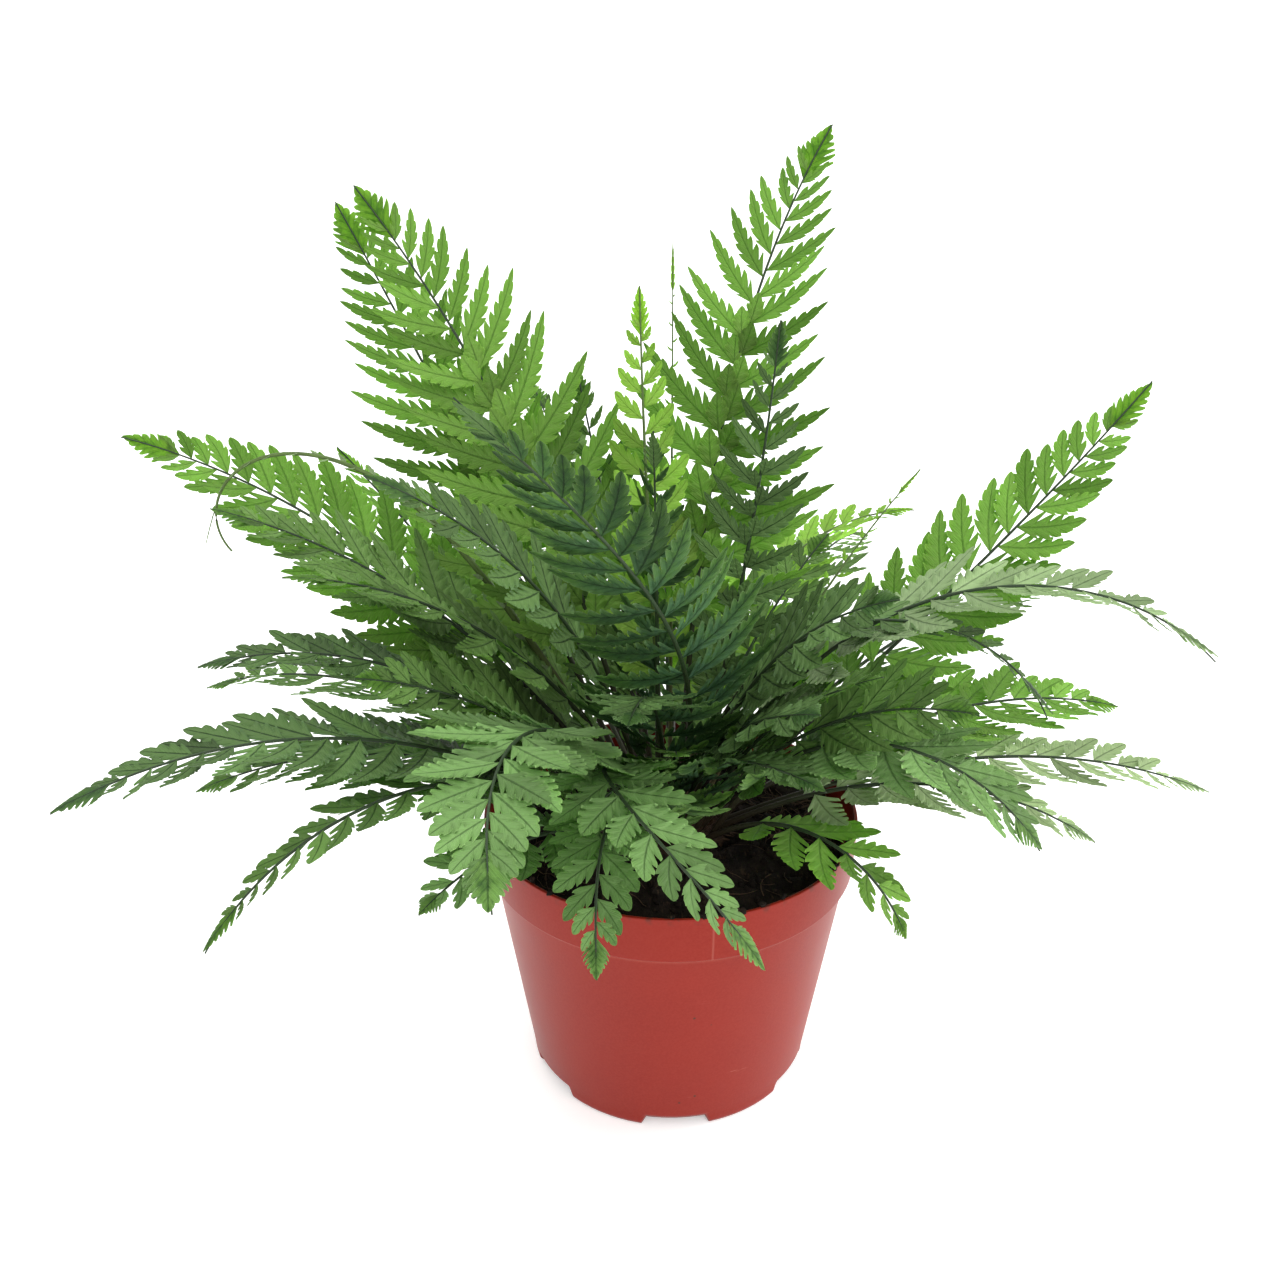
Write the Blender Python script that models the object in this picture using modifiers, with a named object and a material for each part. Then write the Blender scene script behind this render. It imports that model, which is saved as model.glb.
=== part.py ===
"""Potted holly fern: a thin plastic nursery pot, its compost, the crown, and one solid for each frond.

Metres, +Z up. The origin is the middle of the pot's underside, and -Y is the plant's front.
Run with: blender --background --python part.py
"""

import math

import bpy
from mathutils import Matrix, Vector
from mathutils.bvhtree import BVHTree

MM = 0.001

# Pot: a 12 cm nursery pot, turned profile with a rim band above a tapering wall.
RIM_RADIUS = 60.0 * MM
POT_HEIGHT = 92.0 * MM
BAND_HEIGHT = 16.0 * MM
BAND_STEP = 1.9 * MM
BAND_TAPER = 0.7 * MM
STEP_ABOVE = 0.4 * MM
STEP_BELOW = 0.6 * MM
BASE_RADIUS = 46.5 * MM
POT_WALL = 1.2 * MM
POT_SEGMENTS = 60

# Foot: a ring to stand on, lifted in six sectors so that water runs out, and a pad in the middle.
FOOT_CORNER = 1.6 * MM
FOOT_DRAFT = 0.5 * MM
WALL_FOOT = 5.4 * MM
FOOT_WIDTH = 4.6 * MM
FLOOR_LIFT = 3.0 * MM
FLOOR_DRAFT = 0.8 * MM
PAD_RADIUS = 14.0 * MM
NOTCH_COUNT = 6
NOTCH_LIFT = 3.2 * MM
NOTCH_HALF_ANGLE = 13.0
DRAIN_RADIUS = 2.4 * MM
INNER_DRAIN_RADIUS = 4.0 * MM
INNER_DRAIN_COUNT = 4

# Compost: a plug that fills the pot, with a hollow on top that the crown sits in.
GAP = 0.3 * MM
COMPOST_BOTTOM = 5.4 * MM
COMPOST_EDGE = 84.0 * MM
COMPOST_TOP = 87.0 * MM

# Crown: the short rhizome that carries the stems.
CROWN_RADIUS = 19.0 * MM
CROWN_HALF_HEIGHT = 8.5 * MM
CROWN_CENTRE = 81.0 * MM

# Fronds.
STEM_WIDTH = 1.9 * MM
STEM_DEPTH = 1.3 * MM
STEM_TAPER = 0.6
STEM_LIFT = 1.2 * MM
LEAF_SHARE = 0.35
STALK_SHARE = 0.28
# How far from the middle of the crown a stem of each tier stands, and the power by which its bend and
# turn come on along it: a crook stays straight for most of its length.
TIERS = {
    "outer": (15.5 * MM, 1.5),
    "middle": (11.5 * MM, 1.5),
    "inner": (7.5 * MM, 1.5),
    "heart": (3.0 * MM, 1.5),
    "crook": (8.0 * MM, 4.5),
}
STALK_STEPS = 5
STEPS_BETWEEN_ROWS = 6
ROLLED_SHARE = 0.5
FEWEST_PAIRS = 4
PINNA_PITCH = 13.0 * MM
PINNA_BASE = 0.62
PINNA_LEAN = 68.0
PINNA_LEAN_LOSS = 22.0
PITCH_POWER = 0.95
TIP_PITCHES = 0.6
BLADE_TAPER = 2.2
SHORTEST_PINNA = 1.5 * MM
SHOULDER_REACH = 0.5
SHOULDER_SWEEP = 0.1
# Shares of the stem's depth at the edge of a pinna's shoulder and at the frond's very tip.
SHOULDER_WEIGHT = 0.3
TIP_WEIGHT = 0.1
# Where a flap is measured against its neighbours, as shares of its length and of its width.
FLAP_ROWS = (0.15, 0.4, 0.65, 0.9)
FLAP_COLUMNS = (0.1, 0.5, 0.9)
# A pinna that would come this near to another piece keeps less and less of its length.
PINNA_CLEARANCE = 2.2 * MM
PINNA_CUTS = (0.75, 0.5, 0.3, 0.0)

# One row for each frond, with angles in degrees and lengths in millimetres:
# name: (tier, heading, rise, bend, turn, length, half width, roll)
# Heading is the way the stem leaves the crown: 0 is right, 90 back, 180 left, 270 front. Rise is how
# steeply it leaves, bend how far it has drooped by the tip, turn how far it has swung round by then.
FRONDS = {
    # The tall ones that stand up out of the middle.
    "tall_frond_01": ("inner", 160, 75, 26, 0, 214, 42, -45),
    "tall_frond_02": ("middle", 150, 62, 6, 0, 213, 40, -45),
    "tall_frond_03": ("inner", 65, 85, 36, -25, 221, 41, 20),
    "tall_frond_04": ("inner", 20, 78, -8, 0, 160, 24, 45),
    "tall_frond_05": ("heart", 285, 62, 18, -112, 200, 33, 45),
    "tall_frond_06": ("inner", 125, 74, 5, 0, 142, 24, -30),
    "tall_frond_07": ("inner", 238, 89, 2, 0, 132, 22, 0),
    # Arching ones, round from the left to the right.
    "upper_frond_01": ("middle", 168, 52, 42, 0, 206, 34, -40),
    "upper_frond_02": ("middle", 180, 58, 44, 0, 168, 36, -5),
    "upper_frond_03": ("inner", 214, 76, 48, -10, 162, 27, -35),
    "upper_frond_04": ("middle", 8, 43, -2, 15, 194, 32, 40),
    "upper_frond_05": ("middle", 350, 71, 116, 0, 196, 30, 0),
    "upper_frond_06": ("inner", 345, 84, 150, 0, 162, 20, 0),
    "upper_frond_07": ("middle", 312, 66, 40, 20, 100, 30, 0),
    "upper_frond_08": ("inner", 195, 66, 60, 0, 150, 28, 0),
    "upper_frond_09": ("inner", 262, 72, 70, 0, 128, 32, 0),
    # Short ones that fill the middle, in front of the tall ones.
    "short_frond_01": ("inner", 290, 64, 45, 20, 105, 34, 25),
    "short_frond_02": ("middle", 258, 58, 60, -10, 100, 33, -20),
    "short_frond_03": ("middle", 208, 56, 40, 0, 118, 33, -35),
    "short_frond_04": ("middle", 332, 60, 60, 0, 110, 33, 35),
    "short_frond_05": ("inner", 315, 74, 50, 0, 130, 33, 40),
    "short_frond_06": ("middle", 283, 68, 80, 40, 96, 26, 0),
    "short_frond_07": ("outer", 270, 76, 60, 0, 80, 24, 0),
    "short_frond_08": ("middle", 91, 56, 25, 0, 108, 34, 0),
    "short_frond_09": ("heart", 41, 62, 30, 0, 104, 31, 20),
    "short_frond_10": ("middle", 130, 50, 30, 0, 104, 31, -20),
    # Low ones that reach out over the rim.
    "low_frond_01": ("outer", 184, 54, 72, 0, 152, 30, 0),
    "low_frond_02": ("outer", 206, 44, 66, 0, 186, 31, 0),
    "low_frond_03": ("outer", 218, 48, 100, 0, 164, 21, 5),
    "low_frond_04": ("middle", 232, 62, 95, 50, 175, 40, 0),
    "low_frond_05": ("outer", 250, 58, 115, 25, 118, 24, 0),
    "low_frond_06": ("outer", 240, 64, 125, 105, 160, 26, 0),
    "low_frond_07": ("outer", 318, 42, 110, 0, 88, 24, -5),
    "low_frond_08": ("outer", 326, 64, 118, 0, 134, 36, -5),
    "low_frond_09": ("outer", 345, 34, 68, 0, 124, 24, 0),
    "low_frond_10": ("outer", 357, 26, 50, 0, 160, 26, 0),
    "low_frond_11": ("outer", 12, 30, 50, 0, 146, 32, 10),
    "low_frond_12": ("outer", 230, 38, 60, 0, 100, 26, 0),
    "low_frond_13": ("outer", 194, 38, 60, 0, 140, 30, 0),
    # The back of the plant.
    "back_frond_01": ("outer", 146, 44, 10, 0, 158, 26, 0),
    "back_frond_02": ("middle", 112, 54, 30, 0, 165, 30, 0),
    "back_frond_03": ("middle", 66, 62, 65, -60, 140, 26, 0),
    "back_frond_04": ("outer", 34, 34, 50, 0, 170, 30, 0),
    "back_frond_05": ("outer", 62, 38, 60, 0, 170, 30, 0),
    "back_frond_06": ("outer", 88, 42, 75, 0, 180, 32, 0),
    "back_frond_07": ("outer", 118, 38, 60, 0, 165, 28, 0),
    "back_frond_08": ("outer", 165, 34, 60, 0, 158, 28, 0),
    # Young ones, thin and small.
    "young_frond_01": ("crook", 177, 60, 190, 0, 212, 6, 0),
    "young_frond_02": ("heart", 125, 84, 5, -30, 166, 20, 0),
    "young_frond_03": ("inner", 90, 78, 0, 0, 178, 5, 0),
    "young_frond_04": ("middle", 32, 58, 20, 0, 132, 8, 0),
}

# Older fronds are a dark bluish green, the ones in full light a bright one, and young ones lime.
GREENS = {"dark": (0.035, 0.085, 0.04), "bright": (0.085, 0.19, 0.03), "young": (0.16, 0.34, 0.04)}
BRIGHT = ("tall_frond_01", "tall_frond_02", "tall_frond_03", "upper_frond_01", "upper_frond_04")


def empty_scene():
    for thing in list(bpy.data.objects):
        bpy.data.objects.remove(thing, do_unlink=True)


def collection(name):
    made = bpy.data.collections.new(name)
    bpy.context.scene.collection.children.link(made)
    return made


def material(name, colour, roughness):
    made = bpy.data.materials.new(name)
    made.use_nodes = True
    shader = made.node_tree.nodes["Principled BSDF"]
    shader.inputs["Base Color"].default_value = (*colour, 1.0)
    shader.inputs["Roughness"].default_value = roughness
    shader.inputs["Metallic"].default_value = 0.0
    made.diffuse_color = (*colour, 1.0)
    return made


def add_object(name, mesh, group, finish):
    made = bpy.data.objects.new(name, mesh)
    mesh.materials.append(finish)
    group.objects.link(made)
    return made


def turned_profile(name, outline, group, finish, steps=POT_SEGMENTS):
    """An outline of (radius, height) points, turned round the Z axis."""
    mesh = bpy.data.meshes.new(name)
    points = [(radius, 0.0, height) for radius, height in outline]
    edges = [(index, index + 1) for index in range(len(points) - 1)]
    mesh.from_pydata(points, edges, [])
    made = add_object(name, mesh, group, finish)
    screw = made.modifiers.new("Turn", "SCREW")
    screw.steps = steps
    screw.render_steps = steps
    screw.use_merge_vertices = True
    screw.merge_threshold = 0.00005
    screw.use_smooth_shade = False
    return made


def frozen(source, group):
    """The same object as a plain mesh, with its modifiers applied."""
    depsgraph = bpy.context.evaluated_depsgraph_get()
    mesh = bpy.data.meshes.new_from_object(source.evaluated_get(depsgraph))
    name = source.name
    bpy.data.objects.remove(source, do_unlink=True)
    made = bpy.data.objects.new(name, mesh)
    group.objects.link(made)
    return made


def add_cutter(target, cutter):
    cutter.hide_render = True
    cutter.display_type = "WIRE"
    cut = target.modifiers.new("Cut " + cutter.name, "BOOLEAN")
    cut.object = cutter
    cut.solver = "EXACT"


def drain_cutter(name, radius, reach, angle, group):
    bpy.ops.mesh.primitive_cylinder_add(vertices=12, radius=radius, depth=20 * MM)
    made = bpy.context.object
    made.name = name
    made.location = (reach * math.cos(angle), reach * math.sin(angle), 0.0)
    for owner in list(made.users_collection):
        owner.objects.unlink(made)
    group.objects.link(made)
    return made


def notch_angles():
    """The middle of each notch, the first at the front."""
    return [math.radians(-88.0 + index * 360.0 / NOTCH_COUNT) for index in range(NOTCH_COUNT)]


def lift_notches(mesh, below, inside):
    """Raises the foot ring inside each notch's sector."""
    for vertex in mesh.vertices:
        reach = math.hypot(vertex.co.x, vertex.co.y)
        if vertex.co.z >= below or reach <= inside:
            continue
        angle = math.atan2(vertex.co.y, vertex.co.x)
        nearest = min(abs(math.remainder(angle - middle, math.tau)) for middle in notch_angles())
        if nearest <= math.radians(NOTCH_HALF_ANGLE):
            vertex.co.z = NOTCH_LIFT + 0.3 * vertex.co.z


def make_pot(parts, cutters):
    step_height = POT_HEIGHT - BAND_HEIGHT
    ring_inner = BASE_RADIUS - FOOT_CORNER - FOOT_WIDTH
    outline = [
        (RIM_RADIUS, POT_HEIGHT),
        (RIM_RADIUS - BAND_TAPER, step_height + STEP_ABOVE),
        (RIM_RADIUS - BAND_TAPER - BAND_STEP, step_height - STEP_BELOW),
        (BASE_RADIUS, WALL_FOOT),
        (BASE_RADIUS - FOOT_DRAFT, FOOT_CORNER),
        (BASE_RADIUS - FOOT_CORNER, 0.0),
        (ring_inner, 0.0),
        (ring_inner - FLOOR_DRAFT, FLOOR_LIFT),
        (PAD_RADIUS + FLOOR_DRAFT, FLOOR_LIFT),
        (PAD_RADIUS, 0.0),
        (0.0, 0.0),
    ]
    finish = material("terracotta_plastic", (0.52, 0.095, 0.055), 0.38)
    pot = frozen(turned_profile("pot", outline, parts, finish), parts)
    lift_notches(pot.data, below=2.0 * MM, inside=PAD_RADIUS + 2.0 * MM)
    wall = pot.modifiers.new("Wall", "SOLIDIFY")
    wall.thickness = POT_WALL
    wall.offset = -1.0
    wall.use_even_offset = True
    for index, middle in enumerate(notch_angles()):
        angle = middle + math.radians(NOTCH_HALF_ANGLE - 5.0)
        reach = BASE_RADIUS - FOOT_CORNER - 0.5 * FOOT_WIDTH
        add_cutter(pot, drain_cutter(f"notch_drain_{index + 1}", DRAIN_RADIUS, reach, angle, cutters))
    for index in range(INNER_DRAIN_COUNT):
        angle = math.radians(45.0) + index * math.tau / INNER_DRAIN_COUNT
        reach = 0.5 * (PAD_RADIUS + ring_inner)
        drain = drain_cutter(f"inner_drain_{index + 1}", INNER_DRAIN_RADIUS, reach, angle, cutters)
        add_cutter(pot, drain)
    return pot


def wall_radius(height):
    """The pot's inner radius at a height under the band."""
    low = WALL_FOOT
    high = POT_HEIGHT - BAND_HEIGHT - STEP_BELOW
    share = (height - low) / (high - low)
    top = RIM_RADIUS - BAND_TAPER - BAND_STEP
    return BASE_RADIUS + share * (top - BASE_RADIUS) - POT_WALL - 2 * GAP


def make_compost(parts):
    hollow = CROWN_RADIUS + 2.0 * MM
    floor = CROWN_CENTRE - CROWN_HALF_HEIGHT - 1.0 * MM
    under_band = POT_HEIGHT - BAND_HEIGHT - 2.0 * MM
    outline = [
        (0.0, floor),
        (0.6 * hollow, floor + 1.5 * MM),
        (0.9 * hollow, floor + 4.5 * MM),
        (hollow, CROWN_CENTRE + 1.0 * MM),
        (hollow + 3.0 * MM, COMPOST_TOP),
        (0.7 * RIM_RADIUS, COMPOST_TOP - 0.6 * MM),
        (wall_radius(under_band) - 0.5 * MM, COMPOST_EDGE),
        (wall_radius(under_band), under_band),
        (wall_radius(COMPOST_BOTTOM) - 0.5 * MM, COMPOST_BOTTOM + 2.0 * MM),
        (0.0, COMPOST_BOTTOM),
    ]
    return turned_profile("compost", outline, parts, material("dark_compost", (0.02, 0.014, 0.01), 0.95), 48)


def make_crown(parts):
    bpy.ops.mesh.primitive_uv_sphere_add(segments=16, ring_count=8, radius=CROWN_RADIUS)
    crown = bpy.context.object
    crown.name = "crown"
    for owner in list(crown.users_collection):
        owner.objects.unlink(crown)
    parts.objects.link(crown)
    squash = Matrix.Diagonal((1.0, 1.0, CROWN_HALF_HEIGHT / CROWN_RADIUS, 1.0))
    crown.data.transform(Matrix.Translation((0.0, 0.0, CROWN_CENTRE)) @ squash)
    crown.data.materials.append(material("brown_rhizome", (0.09, 0.045, 0.02), 0.9))
    return crown


def foot_point(tier, heading):
    """Where a stem leaves the crown, just clear of its skin."""
    reach = TIERS[tier][0]
    rest = math.sqrt(1.0 - (reach / CROWN_RADIUS) ** 2)
    height = CROWN_CENTRE + CROWN_HALF_HEIGHT * rest + STEM_LIFT
    return Vector((reach * math.cos(heading), reach * math.sin(heading), height))


def direction(spec, share):
    """The stem's heading and elevation at a share of its length, in radians."""
    tier, heading, rise, bend, turn = spec[:5]
    swing = share ** TIERS[tier][1]
    return math.radians(heading + turn * swing), math.radians(rise - bend * swing)


def frond_axis(spec, shares):
    """Points, directions and sideways vectors along the stem at rising shares of its length."""
    tier, heading, length, roll = spec[0], math.radians(spec[1]), spec[5] * MM, math.radians(spec[7])
    point = foot_point(tier, heading)
    points, forwards, sides = [], [], []
    before = 0.0
    for share in shares:
        for piece in range(STEPS_BETWEEN_ROWS):
            middle = before + (share - before) * (piece + 0.5) / STEPS_BETWEEN_ROWS
            swing, lift = direction(spec, middle)
            along = Vector((math.cos(lift) * math.cos(swing), math.cos(lift) * math.sin(swing), math.sin(lift)))
            point = point + along * (length * (share - before) / STEPS_BETWEEN_ROWS)
        before = share
        swing, lift = direction(spec, share)
        forward = Vector((math.cos(lift) * math.cos(swing), math.cos(lift) * math.sin(swing), math.sin(lift)))
        upward = Vector((-math.sin(lift) * math.cos(swing), -math.sin(lift) * math.sin(swing), math.cos(lift)))
        side = forward.cross(upward)
        side.rotate(Matrix.Rotation(roll * min(1.0, share / ROLLED_SHARE), 3, forward))
        points.append(point.copy())
        forwards.append(forward)
        sides.append(side)
    return points, forwards, sides


def blade_profile(share):
    """How much of the half width a pinna reaches, from the blade's base, 0, to its tip, 1."""
    return 1.0 - share**BLADE_TAPER


def pinna_pairs(spec):
    return max(FEWEST_PAIRS, round(spec[5] * MM * (1.0 - STALK_SHARE) / PINNA_PITCH))


def stem_shares(pairs):
    """Shares of the length where the strip has a row: along the stalk, then where each pinna starts and ends."""
    shares = [STALK_SHARE * index / STALK_STEPS for index in range(STALK_STEPS)]
    starts = [
        STALK_SHARE + (1.0 - STALK_SHARE) * (pair / (pairs + TIP_PITCHES)) ** PITCH_POWER
        for pair in range(pairs + 1)
    ]
    for start, following in zip(starts, starts[1:]):
        shares += [start, start + PINNA_BASE * (following - start)]
    return shares + [starts[-1], 1.0]


def pinna_flap(verts, near, far, along, backward, reach):
    """Adds a pinna's tip and the shoulder on its lower edge, and gives the indices of the two."""
    tip = len(verts)
    verts.append(verts[far] + along * reach)
    verts.append(verts[near] + along * SHOULDER_REACH * reach + backward)
    return tip, tip + 1


def frond_surface(spec, cuts):
    """An open surface: a narrow strip for the stem, with a four-sided flap on each side for every pinna.

    cuts maps (pair, side) to the share of its full length that a pinna keeps.
    """
    pairs = pinna_pairs(spec)
    shares = stem_shares(pairs)
    points, forwards, sides = frond_axis(spec, shares)
    verts, faces, owners, weights = [], [], [], []
    for point, side, share in zip(points[:-1], sides, shares):
        half = 0.5 * STEM_WIDTH * (1.0 - STEM_TAPER * share)
        verts += [point - side * half, point + side * half]
        weights += [1.0 - STEM_TAPER * share] * 2
    verts.append(points[-1])
    weights.append(TIP_WEIGHT)
    for row in range(0, len(verts) - 3, 2):
        faces.append((row, row + 1, row + 3, row + 2))
    faces.append((len(verts) - 3, len(verts) - 2, len(verts) - 1))
    owners += [None] * len(faces)
    for pair in range(pairs):
        index = STALK_STEPS + 2 * pair
        share = (shares[index] - STALK_SHARE) / (1.0 - STALK_SHARE)
        lean = math.radians(PINNA_LEAN - PINNA_LEAN_LOSS * share)
        pitch = (shares[index + 2] - shares[index]) * spec[5] * MM
        for hand in (-1, 1):
            reach = spec[6] * MM * blade_profile(share) * cuts.get((pair, hand), 1.0)
            if reach < SHORTEST_PINNA:
                continue
            near = 2 * index + (hand > 0)
            far = near + 2
            along = forwards[index] * math.cos(lean) + sides[index] * math.sin(lean) * hand
            tip, shoulder = pinna_flap(verts, near, far, along, forwards[index] * -SHOULDER_SWEEP * pitch, reach)
            weights += [0.0, SHOULDER_WEIGHT]
            faces.append((near, far, tip, shoulder) if hand < 0 else (near, shoulder, tip, far))
            owners.append((pair, hand))
    return verts, faces, owners, weights


def spread_points(corners):
    """Points spread over a four-sided flap."""
    near, second, tip, fourth = corners
    for row in FLAP_ROWS:
        for column in FLAP_COLUMNS:
            yield near.lerp(fourth, column).lerp(second.lerp(tip, column), row)


def tree_of_surface(surface):
    return BVHTree.FromPolygons([tuple(vert) for vert in surface[0]], surface[1])


def tree_of_object(thing):
    return BVHTree.FromObject(thing, bpy.context.evaluated_depsgraph_get())


def stem_tree(spec):
    """The bare stem of a frond, without pinnae."""
    bare = {(pair, hand): 0.0 for pair in range(pinna_pairs(spec)) for hand in (-1, 1)}
    return tree_of_surface(frond_surface(spec, bare))


def meeting_pinnae(surface, others):
    """The pinnae that pass through what is already there, or come too near it."""
    verts, faces, owners, _ = surface
    own = tree_of_surface(surface)
    found = set()
    for other in others:
        found.update(owners[face] for face, _ in own.overlap(other))
        for face, owner in zip(faces, owners):
            if owner is None or owner in found:
                continue
            points = spread_points([verts[corner] for corner in face])
            if any(other.find_nearest(point, PINNA_CLEARANCE)[0] is not None for point in points):
                found.add(owner)
    return found - {None}


def fitted_surface(spec, others):
    """A frond whose pinnae are cut short, or left out, where they would meet a neighbour."""
    cuts = {}
    for reach in PINNA_CUTS:
        surface = frond_surface(spec, cuts)
        meeting = meeting_pinnae(surface, others)
        if not meeting:
            return surface
        cuts.update({owner: reach for owner in meeting})
    return frond_surface(spec, cuts)


def make_frond(name, surface, parts, finish):
    verts, faces, _, weights = surface
    mesh = bpy.data.meshes.new(name)
    mesh.from_pydata([tuple(vert) for vert in verts], [], faces)
    mesh.update()
    frond = add_object(name, mesh, parts, finish)
    group = frond.vertex_groups.new(name="thickness")
    for index, weight in enumerate(weights):
        group.add([index], weight, "REPLACE")
    leaf = frond.modifiers.new("Thickness", "SOLIDIFY")
    leaf.thickness = STEM_DEPTH
    leaf.offset = 0.0
    leaf.vertex_group = "thickness"
    leaf.thickness_vertex_group = LEAF_SHARE
    return frond


def make_fronds(solids, parts):
    """Each frond in turn keeps clear of the solids, of every other stem and of the fronds before it."""
    finishes = {tint: material(tint + "_frond", colour, 0.45) for tint, colour in GREENS.items()}
    stems = {name: stem_tree(spec) for name, spec in FRONDS.items()}
    done = []
    for name, spec in FRONDS.items():
        others = solids + done + [stems[other] for other in FRONDS if other != name]
        surface = fitted_surface(spec, others)
        done.append(tree_of_surface(surface))
        tint = "young" if name.startswith("young") else "bright" if name in BRIGHT else "dark"
        make_frond(name, surface, parts, finishes[tint])


def main():
    empty_scene()
    parts = collection("potted_fern")
    cutters = collection("cutters")
    pot = make_pot(parts, cutters)
    compost = make_compost(parts)
    make_crown(parts)
    bpy.context.view_layer.update()
    make_fronds([tree_of_object(pot), tree_of_object(compost)], parts)


main()
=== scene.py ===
import math

import bpy
import numpy as np
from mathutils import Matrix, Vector


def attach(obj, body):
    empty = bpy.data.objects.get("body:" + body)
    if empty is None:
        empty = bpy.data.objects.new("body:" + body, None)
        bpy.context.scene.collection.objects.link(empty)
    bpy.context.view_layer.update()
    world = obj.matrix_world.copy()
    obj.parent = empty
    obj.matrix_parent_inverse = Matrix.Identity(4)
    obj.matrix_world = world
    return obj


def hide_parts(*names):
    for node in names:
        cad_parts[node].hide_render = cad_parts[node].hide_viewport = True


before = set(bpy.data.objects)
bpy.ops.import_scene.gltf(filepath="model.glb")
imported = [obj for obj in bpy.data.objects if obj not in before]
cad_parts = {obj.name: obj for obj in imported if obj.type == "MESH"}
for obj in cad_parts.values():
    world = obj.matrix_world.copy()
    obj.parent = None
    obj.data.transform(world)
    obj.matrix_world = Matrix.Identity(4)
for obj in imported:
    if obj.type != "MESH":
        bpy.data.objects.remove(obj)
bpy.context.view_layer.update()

mm = 0.001
print("frame loaded:", len(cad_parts), "nodes")

view = {"place": (-10.5 * mm, -412 * mm, 352 * mm), "aim": (-10.5 * mm, 0.0, 153 * mm), "lens": 42.3,
        "sensor": 36.0, "nearest": 0.01, "farthest": 50.0}


def addCamera():
    # Stands at its place and looks at its aim.
    data = bpy.data.cameras.new("camera")
    data.lens = view["lens"]
    data.sensor_width = view["sensor"]
    data.clip_start = view["nearest"]
    data.clip_end = view["farthest"]
    made = bpy.data.objects.new("camera", data)
    made.location = view["place"]
    aim = Vector(view["aim"]) - Vector(view["place"])
    made.rotation_euler = aim.to_track_quat("-Z", "Y").to_euler()
    bpy.context.scene.collection.objects.link(made)
    bpy.context.scene.camera = made


studio = {
    "sky": 0.78,           # the room's light
    "floor": 0.90,         # how pale the floor is
    "glow": 0.32,          # light from the floor itself, which keeps its shadows faint
    "floorHalf": 12.0,     # metres
    # name: (direction it shines from, strength, how wide it looks in degrees)
    "suns": {"mainLight": ((-0.25, 0.55, 1.0), 1.9, 50.0), "frontLight": ((0.25, -0.9, 0.8), 1.55, 60.0),
             "rightLight": ((1.0, 0.25, 0.35), 2.0, 40.0)},
}


def addSun(name, source, strength, width):
    data = bpy.data.lights.new(name, "SUN")
    data.energy = strength
    data.angle = math.radians(width)
    made = bpy.data.objects.new(name, data)
    made.location = Vector(source)
    made.rotation_euler = (-Vector(source)).to_track_quat("-Z", "Y").to_euler()
    bpy.context.scene.collection.objects.link(made)


def addStudio():
    # A pale floor in a white room with three soft suns.
    world = bpy.data.worlds.new("softRoom")
    bpy.context.scene.world = world
    world.use_nodes = True
    background = world.node_tree.nodes["Background"]
    background.inputs["Color"].default_value = (1.0, 1.0, 1.0, 1.0)
    # White where it is seen, a little dimmer as a light.
    nodes = world.node_tree.nodes
    seen = nodes.new("ShaderNodeLightPath").outputs["Is Camera Ray"]
    level = nodes.new("ShaderNodeMapRange")
    level.inputs["To Min"].default_value = studio["sky"]
    level.inputs["To Max"].default_value = 1.0
    world.node_tree.links.new(seen, level.inputs["Value"])
    world.node_tree.links.new(level.outputs["Result"], background.inputs["Strength"])
    for name, sun in studio["suns"].items():
        addSun(name, *sun)
    mesh = bpy.data.meshes.new("floor")
    half = studio["floorHalf"]
    mesh.from_pydata([(-half, -half, 0), (half, -half, 0), (half, half, 0), (-half, half, 0)], [], [(0, 1, 2, 3)])
    floor = bpy.data.objects.new("floor", mesh)
    bpy.context.scene.collection.objects.link(floor)
    paint = bpy.data.materials.new("palePaper")
    paint.use_nodes = True
    shader = paint.node_tree.nodes["Principled BSDF"]
    shader.inputs["Base Color"].default_value = (studio["floor"],) * 3 + (1.0,)
    shader.inputs["Roughness"].default_value = 0.9
    shader.inputs["Specular IOR Level"].default_value = 0.1
    shader.inputs["Emission Color"].default_value = (1.0, 1.0, 1.0, 1.0)
    shader.inputs["Emission Strength"].default_value = studio["glow"]
    mesh.materials.append(paint)
    bpy.context.scene.view_settings.view_transform = "Standard"


addCamera()
addStudio()
print("camera and light set")


def unit(vectors):
    # Each vector over its own length.
    return vectors / np.maximum(np.linalg.norm(vectors, axis=-1, keepdims=True), 1e-12)


def turned(vectors, axes, angles):
    # Rodrigues' formula: v cos a + (k x v) sin a, for vectors square to their axes.
    return vectors * np.cos(angles)[..., None] + np.cross(axes, vectors) * np.sin(angles)[..., None]


latticeSize = 64


def latticeNoise(x, y, seed):
    # Random heights at whole numbers, between -1 and 1, joined by the smooth step s * s * (3 - 2 * s).
    n = latticeSize
    table = np.random.default_rng(seed).uniform(-1.0, 1.0, (n, n))
    i, j = np.floor(x).astype(int), np.floor(y).astype(int)
    s, t = x - i, y - j
    s, t = s * s * (3 - 2 * s), t * t * (3 - 2 * t)
    near = table[i % n, j % n] * (1 - s) + table[(i + 1) % n, j % n] * s
    far = table[i % n, (j + 1) % n] * (1 - s) + table[(i + 1) % n, (j + 1) % n] * s
    return near * (1 - t) + far * t


def gridFaces(rows, columns):
    # Four-sided faces of a grid whose columns close into a loop, rows one after another.
    i, j = np.meshgrid(np.arange(rows - 1), np.arange(columns), indexing="ij")
    nextColumn = (j + 1) % columns
    quads = np.stack([i * columns + j, i * columns + nextColumn,
                      (i + 1) * columns + nextColumn, (i + 1) * columns + j], -1)
    return quads.reshape(-1, 4)


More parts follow.
